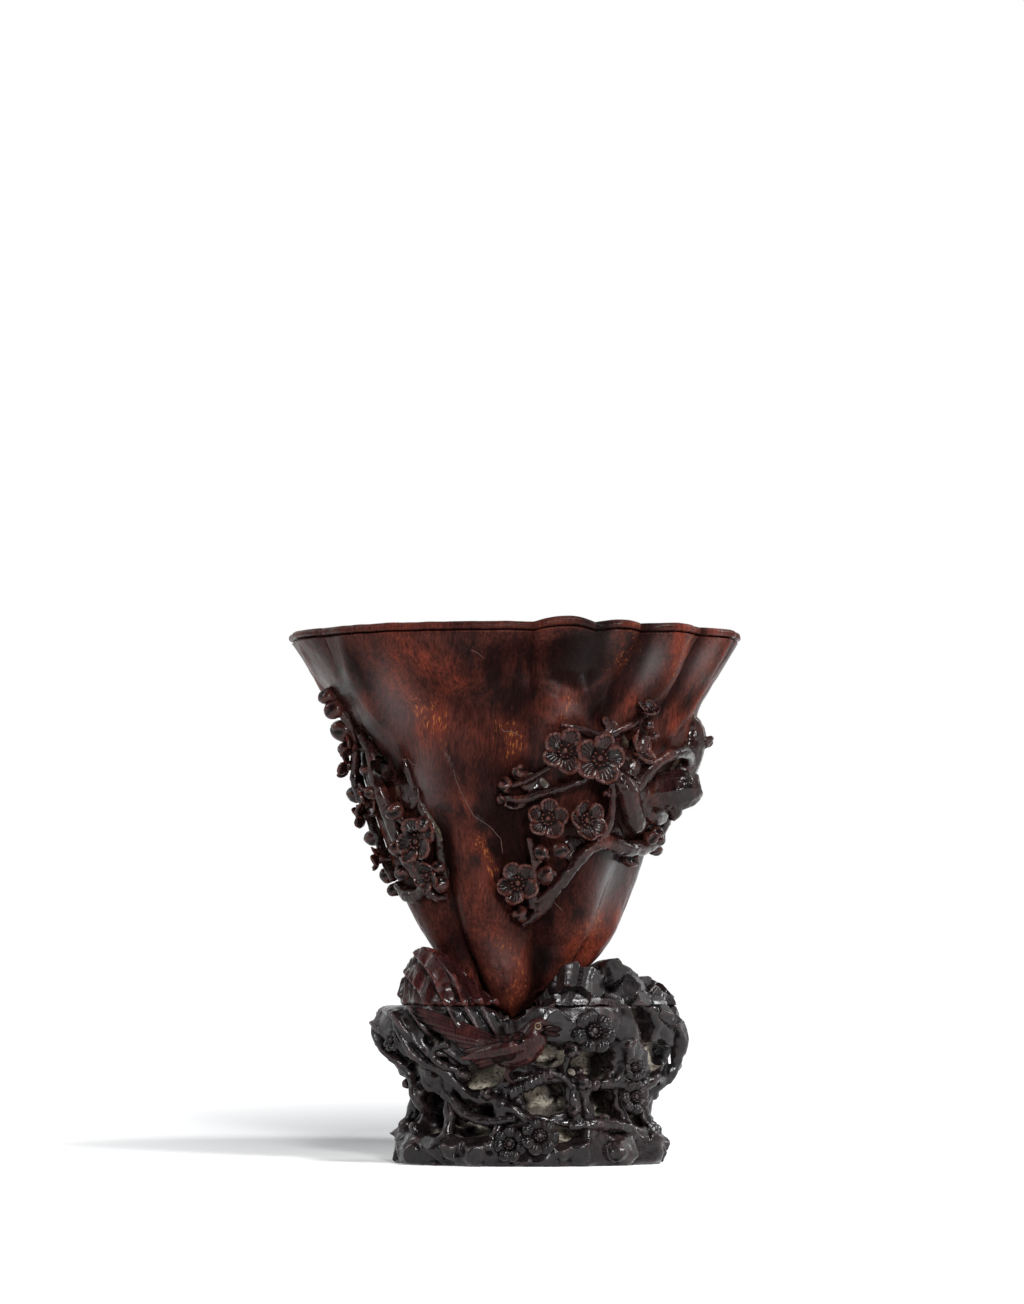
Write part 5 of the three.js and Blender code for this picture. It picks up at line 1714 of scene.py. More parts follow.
@dataclass(frozen=True)
class RidgeFan:
    """Long folds that fan out on the left rocks, from above the seam down to the bird's tail."""

    pivot: tuple[float, float] = (5.0, 5.0)
    apart: float = 5.4
    deep: float = 2.0
    right: float = -6.0
    floor: float = 30.0

    def press(self, points: Array, normals: Array) -> Array:
        """Moves points out on the folds and in between them.

        Args:
            points: Places in mm.
            normals: The surface's direction at each.

        Returns:
            The new places.
        """
        x, z = points[:, 0] - self.pivot[0], points[:, 2] - self.pivot[1]
        turn = np.degrees(np.arctan2(z, -x)) + 0.9 * np.sin(np.hypot(x, z) * 0.19)
        part = turn / self.apart % 1
        fold = np.where(part < 0.28, part / 0.28, 1 - (part - 0.28) / 0.72) ** 1.3 - 0.45
        share = ramp(-normals[:, 1], 0.0, 0.5) * ramp(-x, 1.5, 6.0)
        share = share * ramp(points[:, 2], self.floor - 3, self.floor)
        share = share * ramp(self.right - points[:, 0], -2.0, 3.0)
        return points + normals * (self.deep * fold * share)[:, None]


@dataclass
class StandBlock:
    """The pierced lower block with its twisted roots."""

    form: BlockForm
    cup: CupForm
    voxel: float = 0.60
    cutter_voxel: float = 0.8
    socket_depth: float = 14.0
    socket_gap: float = 0.4
    notch: tuple[tuple[float, float], ...] = ((-14.1, 44.5), (-3.6, 39.0), (4.4, 44.5))

    def body(self) -> bpy.types.Object:
        """Models the block before it is pierced.

        Returns:
            The block.
        """
        form = self.form
        thing, across, along = Bench.sheet(150, 60)
        azimuth = 360 * across
        level = np.clip((along - 0.05) / 0.88, 0, 1) * form.seam
        share = np.where(along < 0.05, along / 0.05, np.where(along > 0.93, (1 - along) / 0.07, 1))
        points = form.place(azimuth, form.radius(azimuth, level) * np.clip(share, 0, 1), level)
        Bench.move(thing, points)
        Bench.weld(thing)
        return thing

    def hollow(self, at: float, up: float, wide: float, tall: float, deep: float) -> bpy.types.Object:
        """Models the cutter for one hollow of the block's face.

        Args:
            at: Its azimuth.
            up: Its height.
            wide: Its width in mm.
            tall: Its height in mm.
            deep: Its depth in mm.

        Returns:
            The cutter.
        """
        mouth = self.form.on_block(at, up)
        way = Vector((mouth.x - self.form.centre_x, mouth.y, 0)).normalized()
        lump = Bench.ball(Vector(), (1, 1, 1), 3)
        points = Bench.points(lump)
        wobble = 1 + 0.12 * np.sin(3 * points[:, 0] * 6 + at) * np.cos(points[:, 1] * 7 + up)
        points = points * wobble[:, None] * (wide, tall, 2 * deep)
        Bench.move(lump, turned_to(points, mouth, way))
        return lump

    def socket(self) -> bpy.types.Object:
        """Models the cutter for the room that the cup's foot stands in.

        Returns:
            The cutter.
        """
        thing, across, along = Bench.sheet(64, 20)
        level = np.clip((along - 0.1) / 0.8, 0, 1) * self.socket_depth
        share = np.clip(np.minimum(along / 0.1, (1 - along) / 0.1), 0, 1)
        radius = (through(self.cup.outline, level) + self.socket_gap) * share
        a = 2 * np.pi * across
        points = np.stack([
            self.cup.axis_x + radius * np.sin(a), -radius * self.cup.foot_depth * np.cos(a),
            self.cup.seat - 0.3 + level], -1)
        Bench.move(thing, points)
        Bench.weld(thing)
        return thing

    def groove(self) -> bpy.types.Object:
        """Models the cutter for the notch that shows the tip of the cup's front root.

        Returns:
            The cutter.
        """
        Bench.clear()
        bpy.ops.mesh.primitive_cylinder_add(vertices=3, radius=MM, depth=MM)
        wedge = bpy.context.object
        points = Bench.points(wedge)
        turn = np.degrees(np.arctan2(points[:, 1], points[:, 0])) % 360
        corner = np.rint((turn - turn.min()) / 120).astype(int) % 3
        outline = np.array(self.notch)[corner]
        Bench.move(wedge, np.stack([outline[:, 0], np.where(points[:, 2] > 0, -46, 0), outline[:, 1]], -1))
        Bench.weld(wedge)
        return wedge

    def build(self) -> bpy.types.Object:
        """Pierces the block and melts its roots onto it.

        Returns:
            The block, not yet chiselled.
        """
        cutters = [self.hollow(*row) for row in BLOCK_HOLLOWS]
        cutter = Bench.join([*cutters, self.socket(), self.groove()])
        Bench.skin(cutter, self.cutter_voxel, 0)
        thing = self.body()
        Bench.modify(thing, "REMESH", mode="VOXEL", voxel_size=self.cutter_voxel * MM)
        Bench.modify(thing, "BOOLEAN", operation="DIFFERENCE", object=cutter, solver="MANIFOLD")
        bpy.data.objects.remove(cutter)
        carver = SprayCarver(self.form.on_block, self.form.lift_of, Vector((self.form.centre_x, 0, 0)))
        parts = [carver.limb(route, 8) for route in BLOCK_ROOTS]
        for azimuth, height, lift, wide in BLOCK_KNOBS:
            at = self.form.on_block(azimuth, height, lift)
            parts.append(Bench.ball(at, (wide, wide, wide), 2))
        thing = Bench.join([thing, *parts])
        Bench.skin(thing, self.voxel, 3)
        return thing

    def chisel(self, thing: bpy.types.Object, facets: Facets, fan: RidgeFan) -> None:
        """Chisels the rock at the block's top and foot, roughens the roots and lays on dust.

        Args:
            thing: The block.
            facets: The flat cuts.
            fan: The long folds.
        """
        points, normals = Bench.points(thing), Bench.normals(thing)
        lift = self.form.lift_of(points)
        height = points[:, 2]
        skin = ramp(lift, -3.0, -1.6)
        rock = np.maximum(ramp(height, 28.0, 33.0), ramp(height, 9.5, 7.0)) * skin
        folded = ramp(-points[:, 0], 5.0, 9.0) * ramp(height, 28.0, 31.0)
        calm = ramp(np.abs(height - self.form.seam), 0.1, 0.6) * ramp(height, 0.3, 1.0)
        rough = ripple(points, 7.0, 3) * 0.8 + ripple(points, 2.4, 2, 4.0) * 0.3
        points = facets.press(points, normals, rock * (1 - folded) * ramp(height, 0.2, 0.8))
        points = fan.press(points, normals)
        points += normals * (rough * calm * (1 - 0.5 * rock))[:, None]
        points[:, 2] = np.clip(points[:, 2], 0, self.form.seam)
        Bench.move(thing, points)
        Bench.polish(thing, 2, 2.0)
        x, y = points[:, 0] - self.form.centre_x, points[:, 1]
        outward = (x * normals[:, 0] + y * normals[:, 1]) / np.maximum(np.hypot(x, y), 1e-6)
        faces = ramp(outward, 0.1, 0.6) * ramp(lift, -1.6, -3.4)
        side = 0.4 * ramp(points[:, 0], 8.0, 16.0) - 0.14
        speck = ramp(ripple(points, 9.0, 3, 11.0) + side, -0.34, 0.06)
        ledge = 0.5 * ramp(normals[:, 2], 0.5, 0.9) * ramp(lift, -0.6, -2.0) * (height < 38)
        Bench.mark(thing, "dust", 0.95 * np.maximum(faces, ledge) * speck)


BLOCK_ROOTS = (
    ((-84, 41, -2, 4), (-78, 36, 0, 5), (-70, 30, 1, 4), (-66, 24, 0.6, 3.4), (-60, 20, 1.4, 3),
     (-62, 14, 0.6, 3)),
    ((-60, 42, 0, 3), (-54, 36, 1, 3.4), (-50, 29, 0.6, 3), (-40, 25, 0, 3.6), (-30, 19, 0.8, 4),
     (-16, 18, 0, 4), (-4, 14, 0, 3.4), (4, 10, 0.6, 3)),
    ((-40, 25, 0, 3), (-42, 18, 0.6, 3.6), (-40, 10, 0.4, 4), (-44, 4, 0, 4)),
    ((-16, 18, 0, 3.4), (-14, 12, 0.6, 3.4), (-18, 5, 0.6, 4)),
    ((-12, 29, -2, 3), (-2, 26, -1, 3.4), (6, 24, 0, 3), (16, 24, 0.4, 3), (24, 21, 0, 3.4),
     (28, 12, 0.4, 3.6), (26, 5, 0, 4)),
    ((16, 24, 0, 2.6), (18, 32, 0, 3), (22, 40, -1, 3)),
    ((24, 21, 0, 3), (38, 22, 1, 3), (50, 22, 1, 3), (60, 21, 0.6, 3.4), (72, 24, 0.6, 4), (84, 22, 0, 4)),
    ((44, 34, 0, 3), (46, 28, 0.6, 3), (44, 22, 0.6, 2.6), (50, 14, 0.6, 3), (54, 6, 0, 4)),
    ((60, 42, 0, 4), (72, 38, 1, 4), (80, 32, 1, 4), (82, 25, 0.6, 3.6), (76, 17, 0, 3.4), (74, 8, 0.6, 4)),
    ((28, 12, 0.4, 2.6), (40, 11, 1.4, 2.8), (52, 10, 1, 3)),
    ((100, 40, 0, 4), (104, 32, 1, 4), (98, 24, 0.6, 4), (92, 14, 0, 4), (96, 4, 0, 5)),
    ((104, 32, 0, 3), (116, 27, 1, 3.6), (128, 30, 1, 3.6), (136, 38, 0, 4)),
    ((116, 27, 0, 3), (122, 18, 0.6, 3.4), (126, 8, 0.6, 4)),
    ((136, 22, 0, 3), (150, 21, 1, 4), (164, 20, 1, 4), (176, 22, 0.6, 3.4), (188, 26, 1, 4),
     (200, 30, 0, 4)),
    ((164, 20, 0, 3), (160, 12, 0.6, 4), (164, 4, 0, 4)),
    ((166, 34, 0, 4), (176, 27, 0.6, 3)), ((200, 36, 0, 3.4), (204, 26, 1, 3.4), (200, 16, 0.6, 3.6),
     (190, 6, 0, 4)),
    ((214, 34, 0, 3), (226, 30, 1, 4), (240, 26, 1, 3.6), (256, 25, 0.6, 4), (270, 28, 0, 4)),
    ((232, 30, 0, 3), (236, 20, 0.6, 3.4), (234, 8, 0.6, 4)), ((262, 26, 0, 3), (266, 16, 0.6, 4),
     (262, 6, 0, 5)),
    ((262, 42, 0, 4), (258, 32, 1, 3.4)),
)
BLOCK_KNOBS = (
    (-88, 38, -1, 4.6), (-74, 22, 0.6, 3.4), (-70, 17, 0.6, 3), (-64, 10, 0.6, 3.6), (-76, 4, -1.4, 6),
    (-56, 3, 0, 6), (-34, 4, 0.6, 5), (-26, 7, 1, 3), (14, 4, 0.4, 5), (22, 26, 1.6, 3.4), (30, 22, 2, 4),
    (38, 4, 0.4, 6), (56, 4, 0.6, 5), (66, 7, 0.6, 4), (80, 12, 1, 4), (82, 19, 0.6, 3), (86, 27, 1, 3.6),
    (88, 35, 0, 4), (-46, 3.6, -1.8, 9), (-24, 3, -1.8, 8), (24, 3.6, -1.8, 9), (46, 4, -1.8, 9),
    (66, 3.4, -2.2, 8), (84, 4, -1.4, 6), (96, 9, 1, 4), (110, 8, 1, 5), (132, 5, 0.4, 6), (150, 6, 1, 5),
    (172, 5, 0.6, 6), (186, 16, 1, 3.6), (206, 5, 0.6, 6), (222, 14, 1, 4), (246, 5, 0.6, 6),
    (256, 38, 0.6, 5), (268, 10, 0.6, 5),
)


@dataclass(frozen=True)
class Crag:
    """A rock above the seam: its name, its solid and its wood."""

    name: str
    node: str
    slot: Slot


@dataclass
class Crags:
    """The rocks round the cup's foot."""

    rows: tuple[Crag, ...] = (
        Crag("left_crag_carved", "left_crag", Slot.BIRD),
        Crag("right_crag_carved", "right_crag", Slot.STAND),
        Crag("back_crag_carved", "back_crag", Slot.STAND),
    )
    seam: float = 43.5
    voxel: float = 0.45
    folded_rounds: int = 26
    faceted_rounds: int = 2

    def build(self, crag: Crag, source: bpy.types.Object) -> bpy.types.Object:
        """Models a crag from its solid, ready for the chisel.

        Args:
            crag: The crag.
            source: Its solid.

        Returns:
            The crag's mesh.
        """
        thing = Bench.copy_of(source, crag.name)
        Bench.weld(thing, 0.01)
        folded = crag.slot is Slot.BIRD
        Bench.skin(thing, self.voxel, self.folded_rounds if folded else self.faceted_rounds)
        return thing

    def chisel(self, thing: bpy.types.Object, facets: Facets, fan: RidgeFan) -> None:
        """Cuts the crag in flat faces on the right and long folds on the left.

        Args:
            thing: The crag.
            facets: The flat cuts.
            fan: The long folds.
        """
        points, normals = Bench.points(thing), Bench.normals(thing)
        left = ramp(-points[:, 0], 5.0, 9.0) * ramp(-points[:, 1], -6.0, 2.0)
        points = facets.press(points, normals, (1 - left) * ramp(normals[:, 2], -0.6, -0.3))
        points = fan.press(points, normals)
        points += normals * (ripple(points, 3.0, 3) * 0.1)[:, None]
        over = points[:, 2] - self.seam
        eased = 0.05 + 1.35 * np.maximum(over - 0.6, 0) / 0.8
        points[:, 2] = self.seam + np.where(over < 1.4, eased, over)
        Bench.move(thing, points)
        Bench.polish(thing, 2, 2.0, 40)


STAND_FLOWERS = (
    Flower("bead_blossom_beak", (24, 36.6, 3.4), 12, (16, 12), 0.3, 0, 5, "stand_blossom_beak"),
    Flower("bead_blossom_left", (-62, 34, 1.4), 6, (-50, 10), 0.3, 0, 4, "stand_blossom_left"),
    Flower("bead_blossom_right_upper", (47, 26.6, 2.8), 7, (32, 10), 0.3, 0, 4, "stand_blossom_right_upper"),
    Flower("bead_blossom_right", (52, 18.6, 3.4), 9.4, (34, 2), 0.3, 0, 5, "stand_blossom_right"),
    Flower("bead_blossom_base_right", (4, 8.4, 3.4), 10.4, (6, 14), 0.3, 0, 6, "stand_blossom_base_right"),
    Flower("bead_blossom_base_left", (-8, 6.2, 2.6), 9.4, (-12, 6), 0.3, 20, 6, "stand_blossom_base_left"),
    Flower("bead_blossom_back", (190, 24, 2.4), 10, (190, 8), 0.3, 0, 5, "stand_blossom_back"),
)
STAND_SPRAYS = (
    Spray(
        "stand_twig_carved", ("stand_twig",),
        (
            ((18, 11, 1, 3.2), (28, 11.4, 2, 3), (40, 11, 2.2, 3.2), (52, 9.4, 1, 3.4)),
            ((20, 22, 2, 2.6), (21, 17, 2.4, 3), (22, 11.4, 1.6, 3.2)),
            ((21, 21, 2, 2.4), (12, 25, 2.6, 2.2), (-2, 24, 2.4, 2.2), (-12, 22, 1, 2.6)),
        ),
        ((23, 22.6, 4, 4.6), (20, 15, 3.6, 3.4), (34, 13, 3.4, 2.6), (17, 31.4, 2.8, 4.6)),
        voxel=0.3, bark=0.3,
    ),
    Spray(
        "stand_left_twig_carved", ("stand_left_twig",),
        (
            ((-34, 33, 0.6, 2.0), (-42, 31, 1.4, 2.2), (-40, 28, 1.6, 2.0), (-34, 26, 1.4, 2.2),
             (-28, 24, 0.8, 2.2)),
            ((-44, 20, 0, 3.4), (-30, 14, 2, 3), (-18, 12, 2.6, 2.6), (-6, 13, 2.4, 2.4)),
        ),
        ((-31, 25, 1.6, 4.0), (-20, 19.6, 1.4, 4.0)), voxel=0.3, bark=0.3,
    ),
    Spray(
        "stand_back_twig_carved", ("stand_back_twig",),
        (
            ((222, 9, 0.8, 3.4), (206, 14, 1.6, 3), (192, 18, 1.8, 2.8), (176, 16, 1.4, 2.4),
             (160, 20, 0.8, 2)),
        ),
        ((206, 17, 2.2, 4.4),), voxel=0.3, bark=0.3,
    ),
)


@dataclass
class Bird:
    """The perched bird: stops of x, height, stand-off from the stand's front, thickness."""

    form: BlockForm
    body: tuple[Stop, ...] = (
        (-15, 34.2, 1, 2.4), (-10.5, 32.6, 1.8, 6.4), (-5, 31.2, 2.4, 9.6), (-0.6, 32.6, 2.6, 9.4),
        (1.6, 35.4, 3.4, 8.2), (3, 37.9, 3, 5.4), (5, 37.8, 3.2, 3.2), (9, 36.8, 3.2, 0.7),
    )
    wing: tuple[Stop, ...] = (
        (-1, 33.6, 5.8, 4.2), (-5, 32.6, 6.6, 5.0), (-11, 31, 5.6, 3.8), (-18, 29.2, 3.4, 1.0),
    )
    leg: tuple[Stop, ...] = ((-3, 28, 2.2, 2.4), (-5.6, 25, 2.4, 1.6), (-3.2, 22, 1.6, 1.6))
    tail_tips: Stations = ((-31.6, 43), (-31.4, 41.8), (-30, 40.2), (-27, 37.9), (-23.6, 35.6), (-20, 33.2))
    roll: tuple[Spot, Spot] = ((-4.4, 20.0, 1.6), (6.0, 25.2, 2.2))
    voxel: float = 0.3
    roll_voxel: float = 0.24
    reach: float = 43.0
    eye: Spot = (2.8, 38.1, 5.75)
    lid: float = 0.8
    ribs: int = 9

    def at(self, x: float, height: float, lift: float) -> Vector:
        """Finds a place in front of the block.

        Args:
            x: Distance right of the middle.
            height: Height above the table.
            lift: Stand-off from the block's face.

        Returns:
            The place in mm.
        """
        azimuth = math.degrees(math.asin((x - self.form.centre_x) / self.reach))
        skin = self.form.on_block(azimuth, height)
        return Vector((x, skin.y - lift, height))

    def limb(self, route: Sequence[Stop], sides: int = 12) -> bpy.types.Object:
        """One rounded part of the bird."""
        return Bench.tube([(self.at(*stop[:3]), stop[3]) for stop in route], sides)

    def feather(self, start: Spot, end: Spot, wide: float, thick: float) -> bpy.types.Object:
        """Models one long feather, a flat pointed blade.

        Args:
            start: Its root.
            end: Its tip.
            wide: Its width in mm.
            thick: Its thickness in mm.

        Returns:
            The feather.
        """
        a, b = self.at(*start), self.at(*end)
        blade = Bench.ball(Vector(), (1, 1, 1), 3)
        points = Bench.points(blade)
        along = b - a
        out = Vector((0, -1, 0))
        side = along.cross(out).normalized()
        up = side.cross(along).normalized()
        t = points[:, 0] + 0.5
        flat = points[:, 2] * thick
        # Painted shade along the blade's edges and at its tip, where feathers meet.
        edge = ramp(np.abs(points[:, 1]), 0.30, 0.46) + ramp(t, 0.93, 1.0)
        middle = np.array(a) + np.outer(t, np.array(along))
        spread = np.outer(points[:, 1] * wide, np.array(side)) + np.outer(flat, np.array(up))
        Bench.move(blade, middle + spread)
        Bench.mark(blade, "hollow", np.clip(edge, 0, 1))
        return blade

    def build(self) -> bpy.types.Object:
        """Melts the body, then lays feathers, eye and beak on it.

        Returns:
            The bird.
        """
        trunk = Bench.join([self.limb(self.body), self.limb(self.wing), self.limb(self.leg, 8)])
        Bench.skin(trunk, self.voxel, 4)
        points, normals = Bench.points(trunk), Bench.normals(trunk)
        points += normals * (0.12 * ripple(points, 2.0, 2))[:, None]
        Bench.move(trunk, points)
        parts = [trunk]
        for i in range(5):
            start = (-3.4 - i * 0.9, 33.8 - i * 1.05, 7.6 - i * 0.3)
            end = (-18.4 + i * 1.1, 30.8 - i * 1.0, 4.0)
            parts.append(self.feather(start, end, 2.0, 2.0))
        for row in range(2):
            for i in range(4):
                x, z = -0.8 - row * 2.8 - i * 0.7, 35.8 - i * 1.75 - row * 0.6
                lift = 7.9 - 0.25 * i - 0.2 * row
                parts.append(self.feather((x, z, lift), (x - 4.0, z - 0.9, lift - 0.9), 2.7, 2.2))
        for i, (x, z) in enumerate(self.tail_tips):
            root = (-8, 34.6 - i * 0.55, 3.6 + 0.2 * i)
            parts.append(self.feather(root, (x, z, 1.6 + 0.1 * i), 2.6, 1.5))
        eye = self.at(*self.eye)
        turns = np.linspace(0, 2 * math.pi, 9)
        ring = [Vector((self.lid * math.cos(a), -0.15, self.lid * math.sin(a))) for a in turns]
        lid = Bench.tube([(eye + spot, 0.32) for spot in ring], 6)
        Bench.mark(lid, "dust", np.ones(len(lid.data.vertices)))
        parts.append(lid)
        parts.append(Bench.ball(eye + Vector((0, -0.1, 0)), (self.lid,) * 3, 2))
        parts.append(self.feather((3.8, 37.8, 5.0), (9.4, 37.2, 3.8), 1.9, 1.8))
        parts.append(self.feather((3.8, 36.7, 4.9), (8.8, 35.6, 3.8), 1.7, 1.7))
        thing = Bench.join(parts)
        Bench.polish(thing, 1, 1.9, 60)
        return thing

    def build_roll(self) -> bpy.types.Object:
        """Models the ribbed roll under the bird's claws.

        Returns:
            The roll.
        """
        parts = []
        start, end = (np.array(self.at(*spot)) for spot in self.roll)
        parts.append(Bench.tube([(Vector(start), 3.2), (Vector(end), 3.4)], 8))
        run = Vector(end - start).normalized()
        rise = run.cross(Vector((0, -1, 0))).normalized() * -1
        for step in np.linspace(0, 1, self.ribs):
            middle = Vector(start + (end - start) * (step + 0.02 * math.sin(step * 40)))
            wide = 2.0 + 0.3 * math.sin(step * 17)
            arc = [
                (middle + rise * (wide * math.sin(a)) + run * (0.5 * a) + Vector((0, -1.8 * math.cos(a),
                0)), thick)
                for a, thick in ((-1.3, 0.8), (-0.5, 1.4), (0.3, 1.5), (1.2, 0.7))
            ]
            parts.append(Bench.tube(arc, 6))
        thing = Bench.join(parts)
        Bench.skin(thing, self.roll_voxel, 1)
        Bench.polish(thing, 2, 1.6)
        return thing


@dataclass
class Stand:
    """Block, crags, bird, flowers and twigs."""

    form: BlockForm
    cup: CupForm
    facet_spacing: float = 5.8
    facet_seed: int = 11

    def dress(self, woods: dict[Slot, bpy.types.Material], nodes: dict) -> None:
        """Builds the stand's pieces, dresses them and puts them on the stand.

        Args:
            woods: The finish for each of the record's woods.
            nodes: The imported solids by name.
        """
        dark, red = woods[Slot.STAND], woods[Slot.BIRD]
        block, crags = StandBlock(self.form, self.cup), Crags()
        pierced = block.build()
        rocks = [crags.build(crag, nodes[crag.node]) for crag in crags.rows]
        facets = Facets.over([pierced, *rocks], self.facet_spacing, self.facet_seed)
        fan = RidgeFan()
        block.chisel(pierced, facets, fan)
        Bench.hand_in(pierced, "pierced_block", Body.STAND, Slot.STAND, dark, ["stand_block"])
        for crag, rock in zip(crags.rows, rocks):
            crags.chisel(rock, facets, fan)
            Bench.hand_in(rock, crag.name, Body.STAND, crag.slot, woods[crag.slot], [crag.node])
        bird = Bird(self.form)
        Bench.hand_in(bird.build(), "perched_bird", Body.STAND, Slot.BIRD, red, ["bird"])
        Bench.hand_in(bird.build_roll(), "ribbed_roll", Body.STAND, Slot.STAND, dark)
        pattern = BlossomPattern(
            petals=7, reach=0.69, length=0.33, width=0.31, grooves=3, groove_from=0.5, dish=-0.20,
            rim=0.0, thick=0.16, boss=0.15, beads=10, bead_ring=0.27, across=26, along=20)
        for flower in STAND_FLOWERS:
            made = pattern.carve(flower, self.form.on_block(*flower.at))
            Bench.hand_in(made, flower.name, Body.STAND, Slot.STAND, dark, flower.nodes)
        carver = SprayCarver(self.form.on_block, self.form.lift_of, Vector((self.form.centre_x, 0, 0)))
        for spray in STAND_SPRAYS:
            Bench.hand_in(carver.carve(spray), spray.name, Body.STAND, Slot.STAND, dark, spray.nodes)


# Studio


@dataclass(frozen=True)
class FloorPaper:
    """Pale paper, shown white to the camera except where it keeps the object's shadow."""

    paper: tuple[Colour, Colour] = ((0.94, 0.94, 0.94), (0.97, 0.97, 0.97))
    shadow_at: Spot = (-0.04, 0.20, 0.0)
    shadow_shape: Spot = (2.2, 0.8, 1.0)
    fade: tuple[float, float] = (0.04, 0.50)

    def make(self) -> bpy.types.Material:
        """Builds the material.

        Returns:
            The material.
        """
        n = Nodes("floor_paper")
        grain = n.band(n.cloud(n.place(), 0.4, 3.0), 0.2, 0.8)
        matt = n.add("BsdfDiffuse", {"Color": n.mix(grain, *self.paper)}).outputs[0]
        # Painted light: the floor's glow to the camera is weakest round shadow_at and full by the fade's far
        # end, so the lamps' shadow shows only near there.
        coords = n.add("TexCoord").outputs["Object"]
        spot = n.add("VectorMath", {0: coords, 1: self.shadow_at}, operation="SUBTRACT").outputs[0]
        spot = n.stretch(spot, self.shadow_shape)
        reach = n.add("VectorMath", {0: spot}, operation="LENGTH").outputs["Value"]
        fade = {"Value": reach, "From Min": self.fade[0], "From Max": self.fade[1]}
        strength = n.add("MapRange", fade).outputs[0]
        glow = n.add("Emission", {"Color": (1, 1, 1, 1), "Strength": strength}).outputs[0]
        both = n.add("AddShader", {0: matt, 1: glow}).outputs[0]
        return n.finish(n.add("MixShader", {0: n.seen(), 1: matt, 2: both}).outputs[0])


@dataclass(frozen=True)
class DarkCloth:
    """Black cloth behind the camera, which keeps the white room out of the front's gloss."""

    weave: tuple[Colour, Colour] = ((0.015, 0.015, 0.016), (0.025, 0.025, 0.026))

    def make(self) -> bpy.types.Material:
        """Builds the material.

        Returns:
            The material.
        """
        n = Nodes("dark_cloth")
        weave = n.mix(n.band(n.cloud(n.place(), 0.5, 3.0), 0.3, 0.7), *self.weave)
        return n.finish(n.add("BsdfDiffuse", {"Color": weave}).outputs[0])


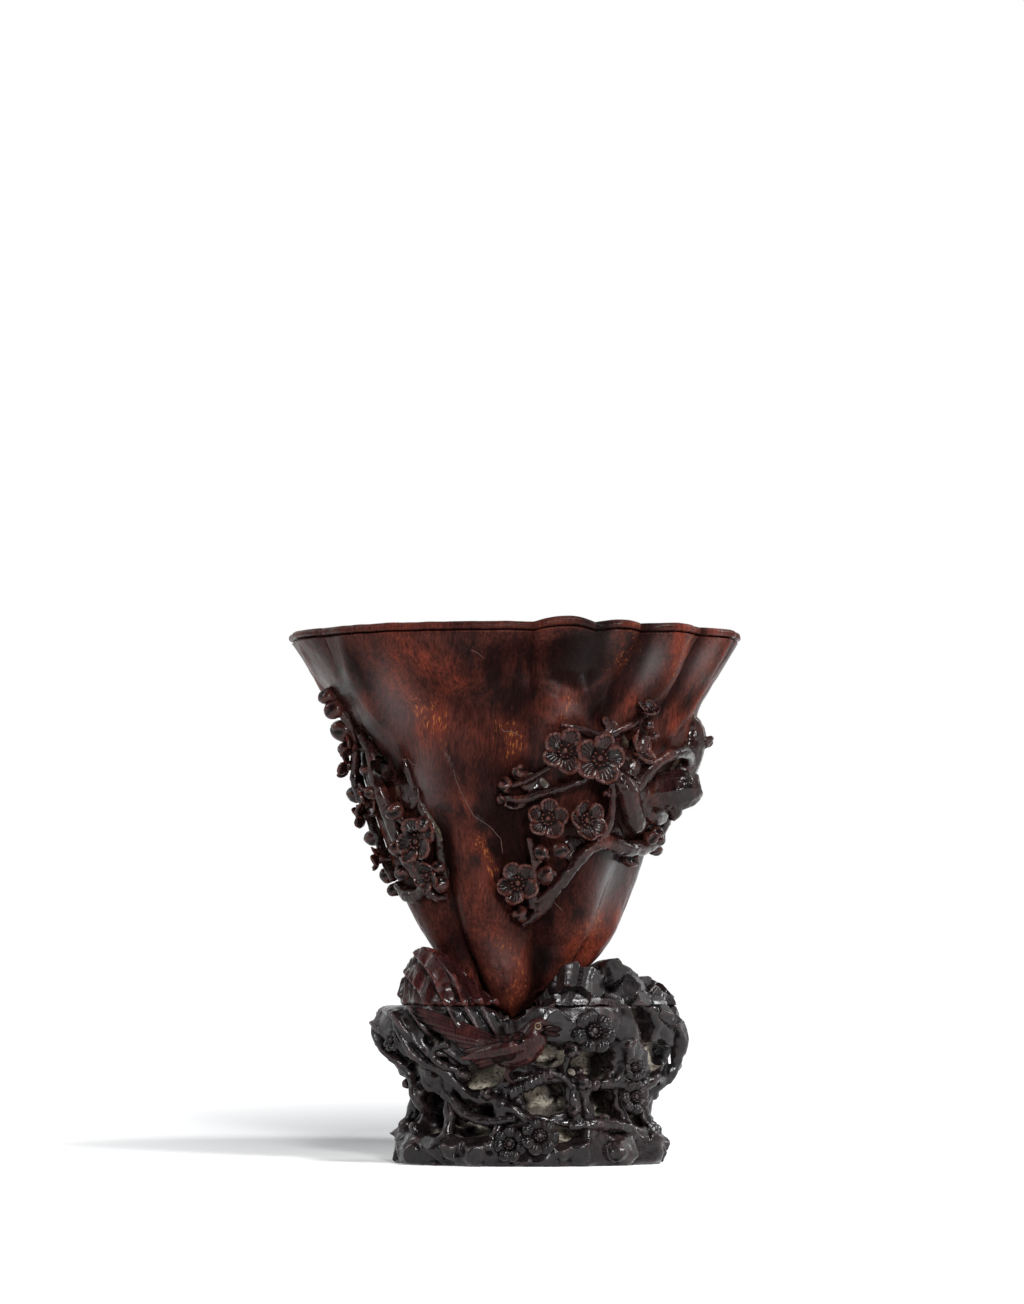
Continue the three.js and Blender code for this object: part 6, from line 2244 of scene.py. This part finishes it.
@dataclass
class Studio:
    """Camera at the photograph's angle, soft lamps, and a pale floor that keeps the shadow."""

    camera_distance: float = 1.150
    camera_height: float = 0.052
    aim_height: float = 0.142
    aim_x: float = -0.0042
    frame_height: float = 0.3651
    sensor: float = 36.0
    lamp_aim: Spot = (0, 0, 0.08)
    lamps: tuple[tuple[str, Spot, float, float], ...] = (
        ("front_lamp", (0.25, -1.42, 0.47), 0.15, 15.0), ("key_lamp", (0.40, -0.66, 0.90), 0.20, 8.0),
        ("side_lamp", (0.90, 0.25, 0.62), 0.22, 3.4), ("left_lamp", (-0.95, -0.10, 0.70), 0.26, 2.2),
    )
    floor_size: float = 16.0
    cloth_size: float = 5.0
    cloth_at: Spot = (0, -2.4, 1.6)
    room_light: tuple[float, float, float, float] = (0.9, 0.95, 1.0, 1)
    room_strength: float = 0.17

    def camera(self) -> None:
        """Adds the camera."""
        tilt = math.atan2(self.aim_height - self.camera_height, self.camera_distance)
        place = (self.aim_x, -self.camera_distance, self.camera_height)
        bpy.ops.object.camera_add(location=place, rotation=(math.pi / 2 + tilt, 0, 0))
        camera = bpy.context.object
        camera.data.sensor_width = self.sensor
        camera.data.lens = self.sensor * self.camera_distance / math.cos(tilt) / self.frame_height
        camera.data.clip_start, camera.data.clip_end = 0.05, 50
        bpy.context.scene.camera = camera

    def lamp(self, name: str, at: Spot, size: float, power: float) -> None:
        """Adds a square soft lamp that looks at the object.

        Args:
            name: Its name.
            at: Where it hangs, in metres.
            size: Its width in metres.
            power: Its power in watts.
        """
        bpy.ops.object.light_add(type="AREA", location=at)
        lamp = bpy.context.object
        lamp.name = name
        lamp.rotation_mode = "QUATERNION"
        lamp.rotation_quaternion = (Vector(self.lamp_aim) - Vector(at)).to_track_quat("-Z", "Y")
        lamp.data.shape = "SQUARE"
        lamp.data.size = size
        lamp.data.energy = power

    @staticmethod
    def sheet(name: str, finish: bpy.types.Material, size: float, **place: object) -> None:
        """Adds a flat sheet that is staging and no part of the object.

        Args:
            name: Its name.
            finish: Its material.
            size: Its width in metres.
            place: Where it stands and how it is turned.
        """
        Bench.clear()
        bpy.ops.mesh.primitive_grid_add(x_subdivisions=4, y_subdivisions=4, size=size, **place)
        sheet = bpy.context.object
        sheet.name = name
        sheet.data.materials.append(finish)

    def world(self) -> None:
        """Lights the room softly, and shows it white behind the object."""
        n = Nodes("studio_room", room=True)
        light = n.add("Background", {0: self.room_light, 1: self.room_strength}).outputs[0]
        wall = n.add("Background", {0: (1, 1, 1, 1), 1: 1.0}).outputs[0]
        bpy.context.scene.world = n.finish(n.add("MixShader", {0: n.seen(), 1: light, 2: wall}).outputs[0])

    def build(self) -> None:
        """Sets up the whole studio."""
        self.camera()
        for lamp in self.lamps:
            self.lamp(*lamp)
        self.sheet("floor", FloorPaper().make(), self.floor_size)
        self.sheet(
            "dark_cloth", DarkCloth().make(), self.cloth_size,
            location=self.cloth_at, rotation=(math.pi / 2, 0, 0))
        self.world()
        bpy.context.scene.view_settings.view_transform = "Standard"


CUP_WOOD = CarvedWood(
    "aloeswood", deep=(0.0130, 0.0052, 0.0048), body=(0.052, 0.0135, 0.0098), worn=(0.150, 0.029, 0.0165),
    fleck=(0.32, 0.10, 0.028), edge=0.3, polish=0.22, dull=0.42, shine=0.045, wax=0.6)
SPRAY_WOOD = CarvedWood(
    "spray_wood", deep=(0.006, 0.0035, 0.0035), body=(0.019, 0.0065, 0.006), worn=(0.095, 0.027, 0.019),
    fleck=(0.2, 0.07, 0.03), flecks=0.3, edge=0.7, dust=(0.13, 0.11, 0.08),
    polish=0.15, dull=0.27, bump=0.15,
    shine=0.22)
STAND_WOOD = CarvedWood(
    "stand_wood", deep=(0.004, 0.0032, 0.0034), body=(0.010, 0.0065, 0.007), worn=(0.055, 0.030, 0.031),
    fleck=(0.08, 0.03, 0.02), flecks=0.2, edge=0.7, dust=(0.56, 0.50, 0.41), polish=0.17, dull=0.34,
    bump=0.12, shine=0.32)
BIRD_WOOD = CarvedWood(
    "bird_wood", deep=(0.008, 0.0034, 0.0035), body=(0.026, 0.0068, 0.0066), worn=(0.105, 0.027, 0.023),
    fleck=(0.14, 0.04, 0.02), flecks=0.3, edge=0.6, polish=0.17, dull=0.28, bump=0.08, shine=0.2)


def main() -> None:
    """Builds the pieces in order."""
    logging.basicConfig(level=logging.INFO, format="%(name)s: %(message)s")
    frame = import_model()
    woods = {
        Slot.CUP: CUP_WOOD.make(),
        Slot.SPRAY: SPRAY_WOOD.make(),
        Slot.STAND: STAND_WOOD.make(),
        Slot.BIRD: BIRD_WOOD.make(),
    }
    Studio().build()
    cup = CupForm()
    CupWall(cup).dress(woods[Slot.CUP], PaleSeam().make())
    CupSprays(cup).dress(woods[Slot.SPRAY])
    Stand(BlockForm(), cup).dress(woods, frame["nodes"])


if __name__ == "__main__":
    main()
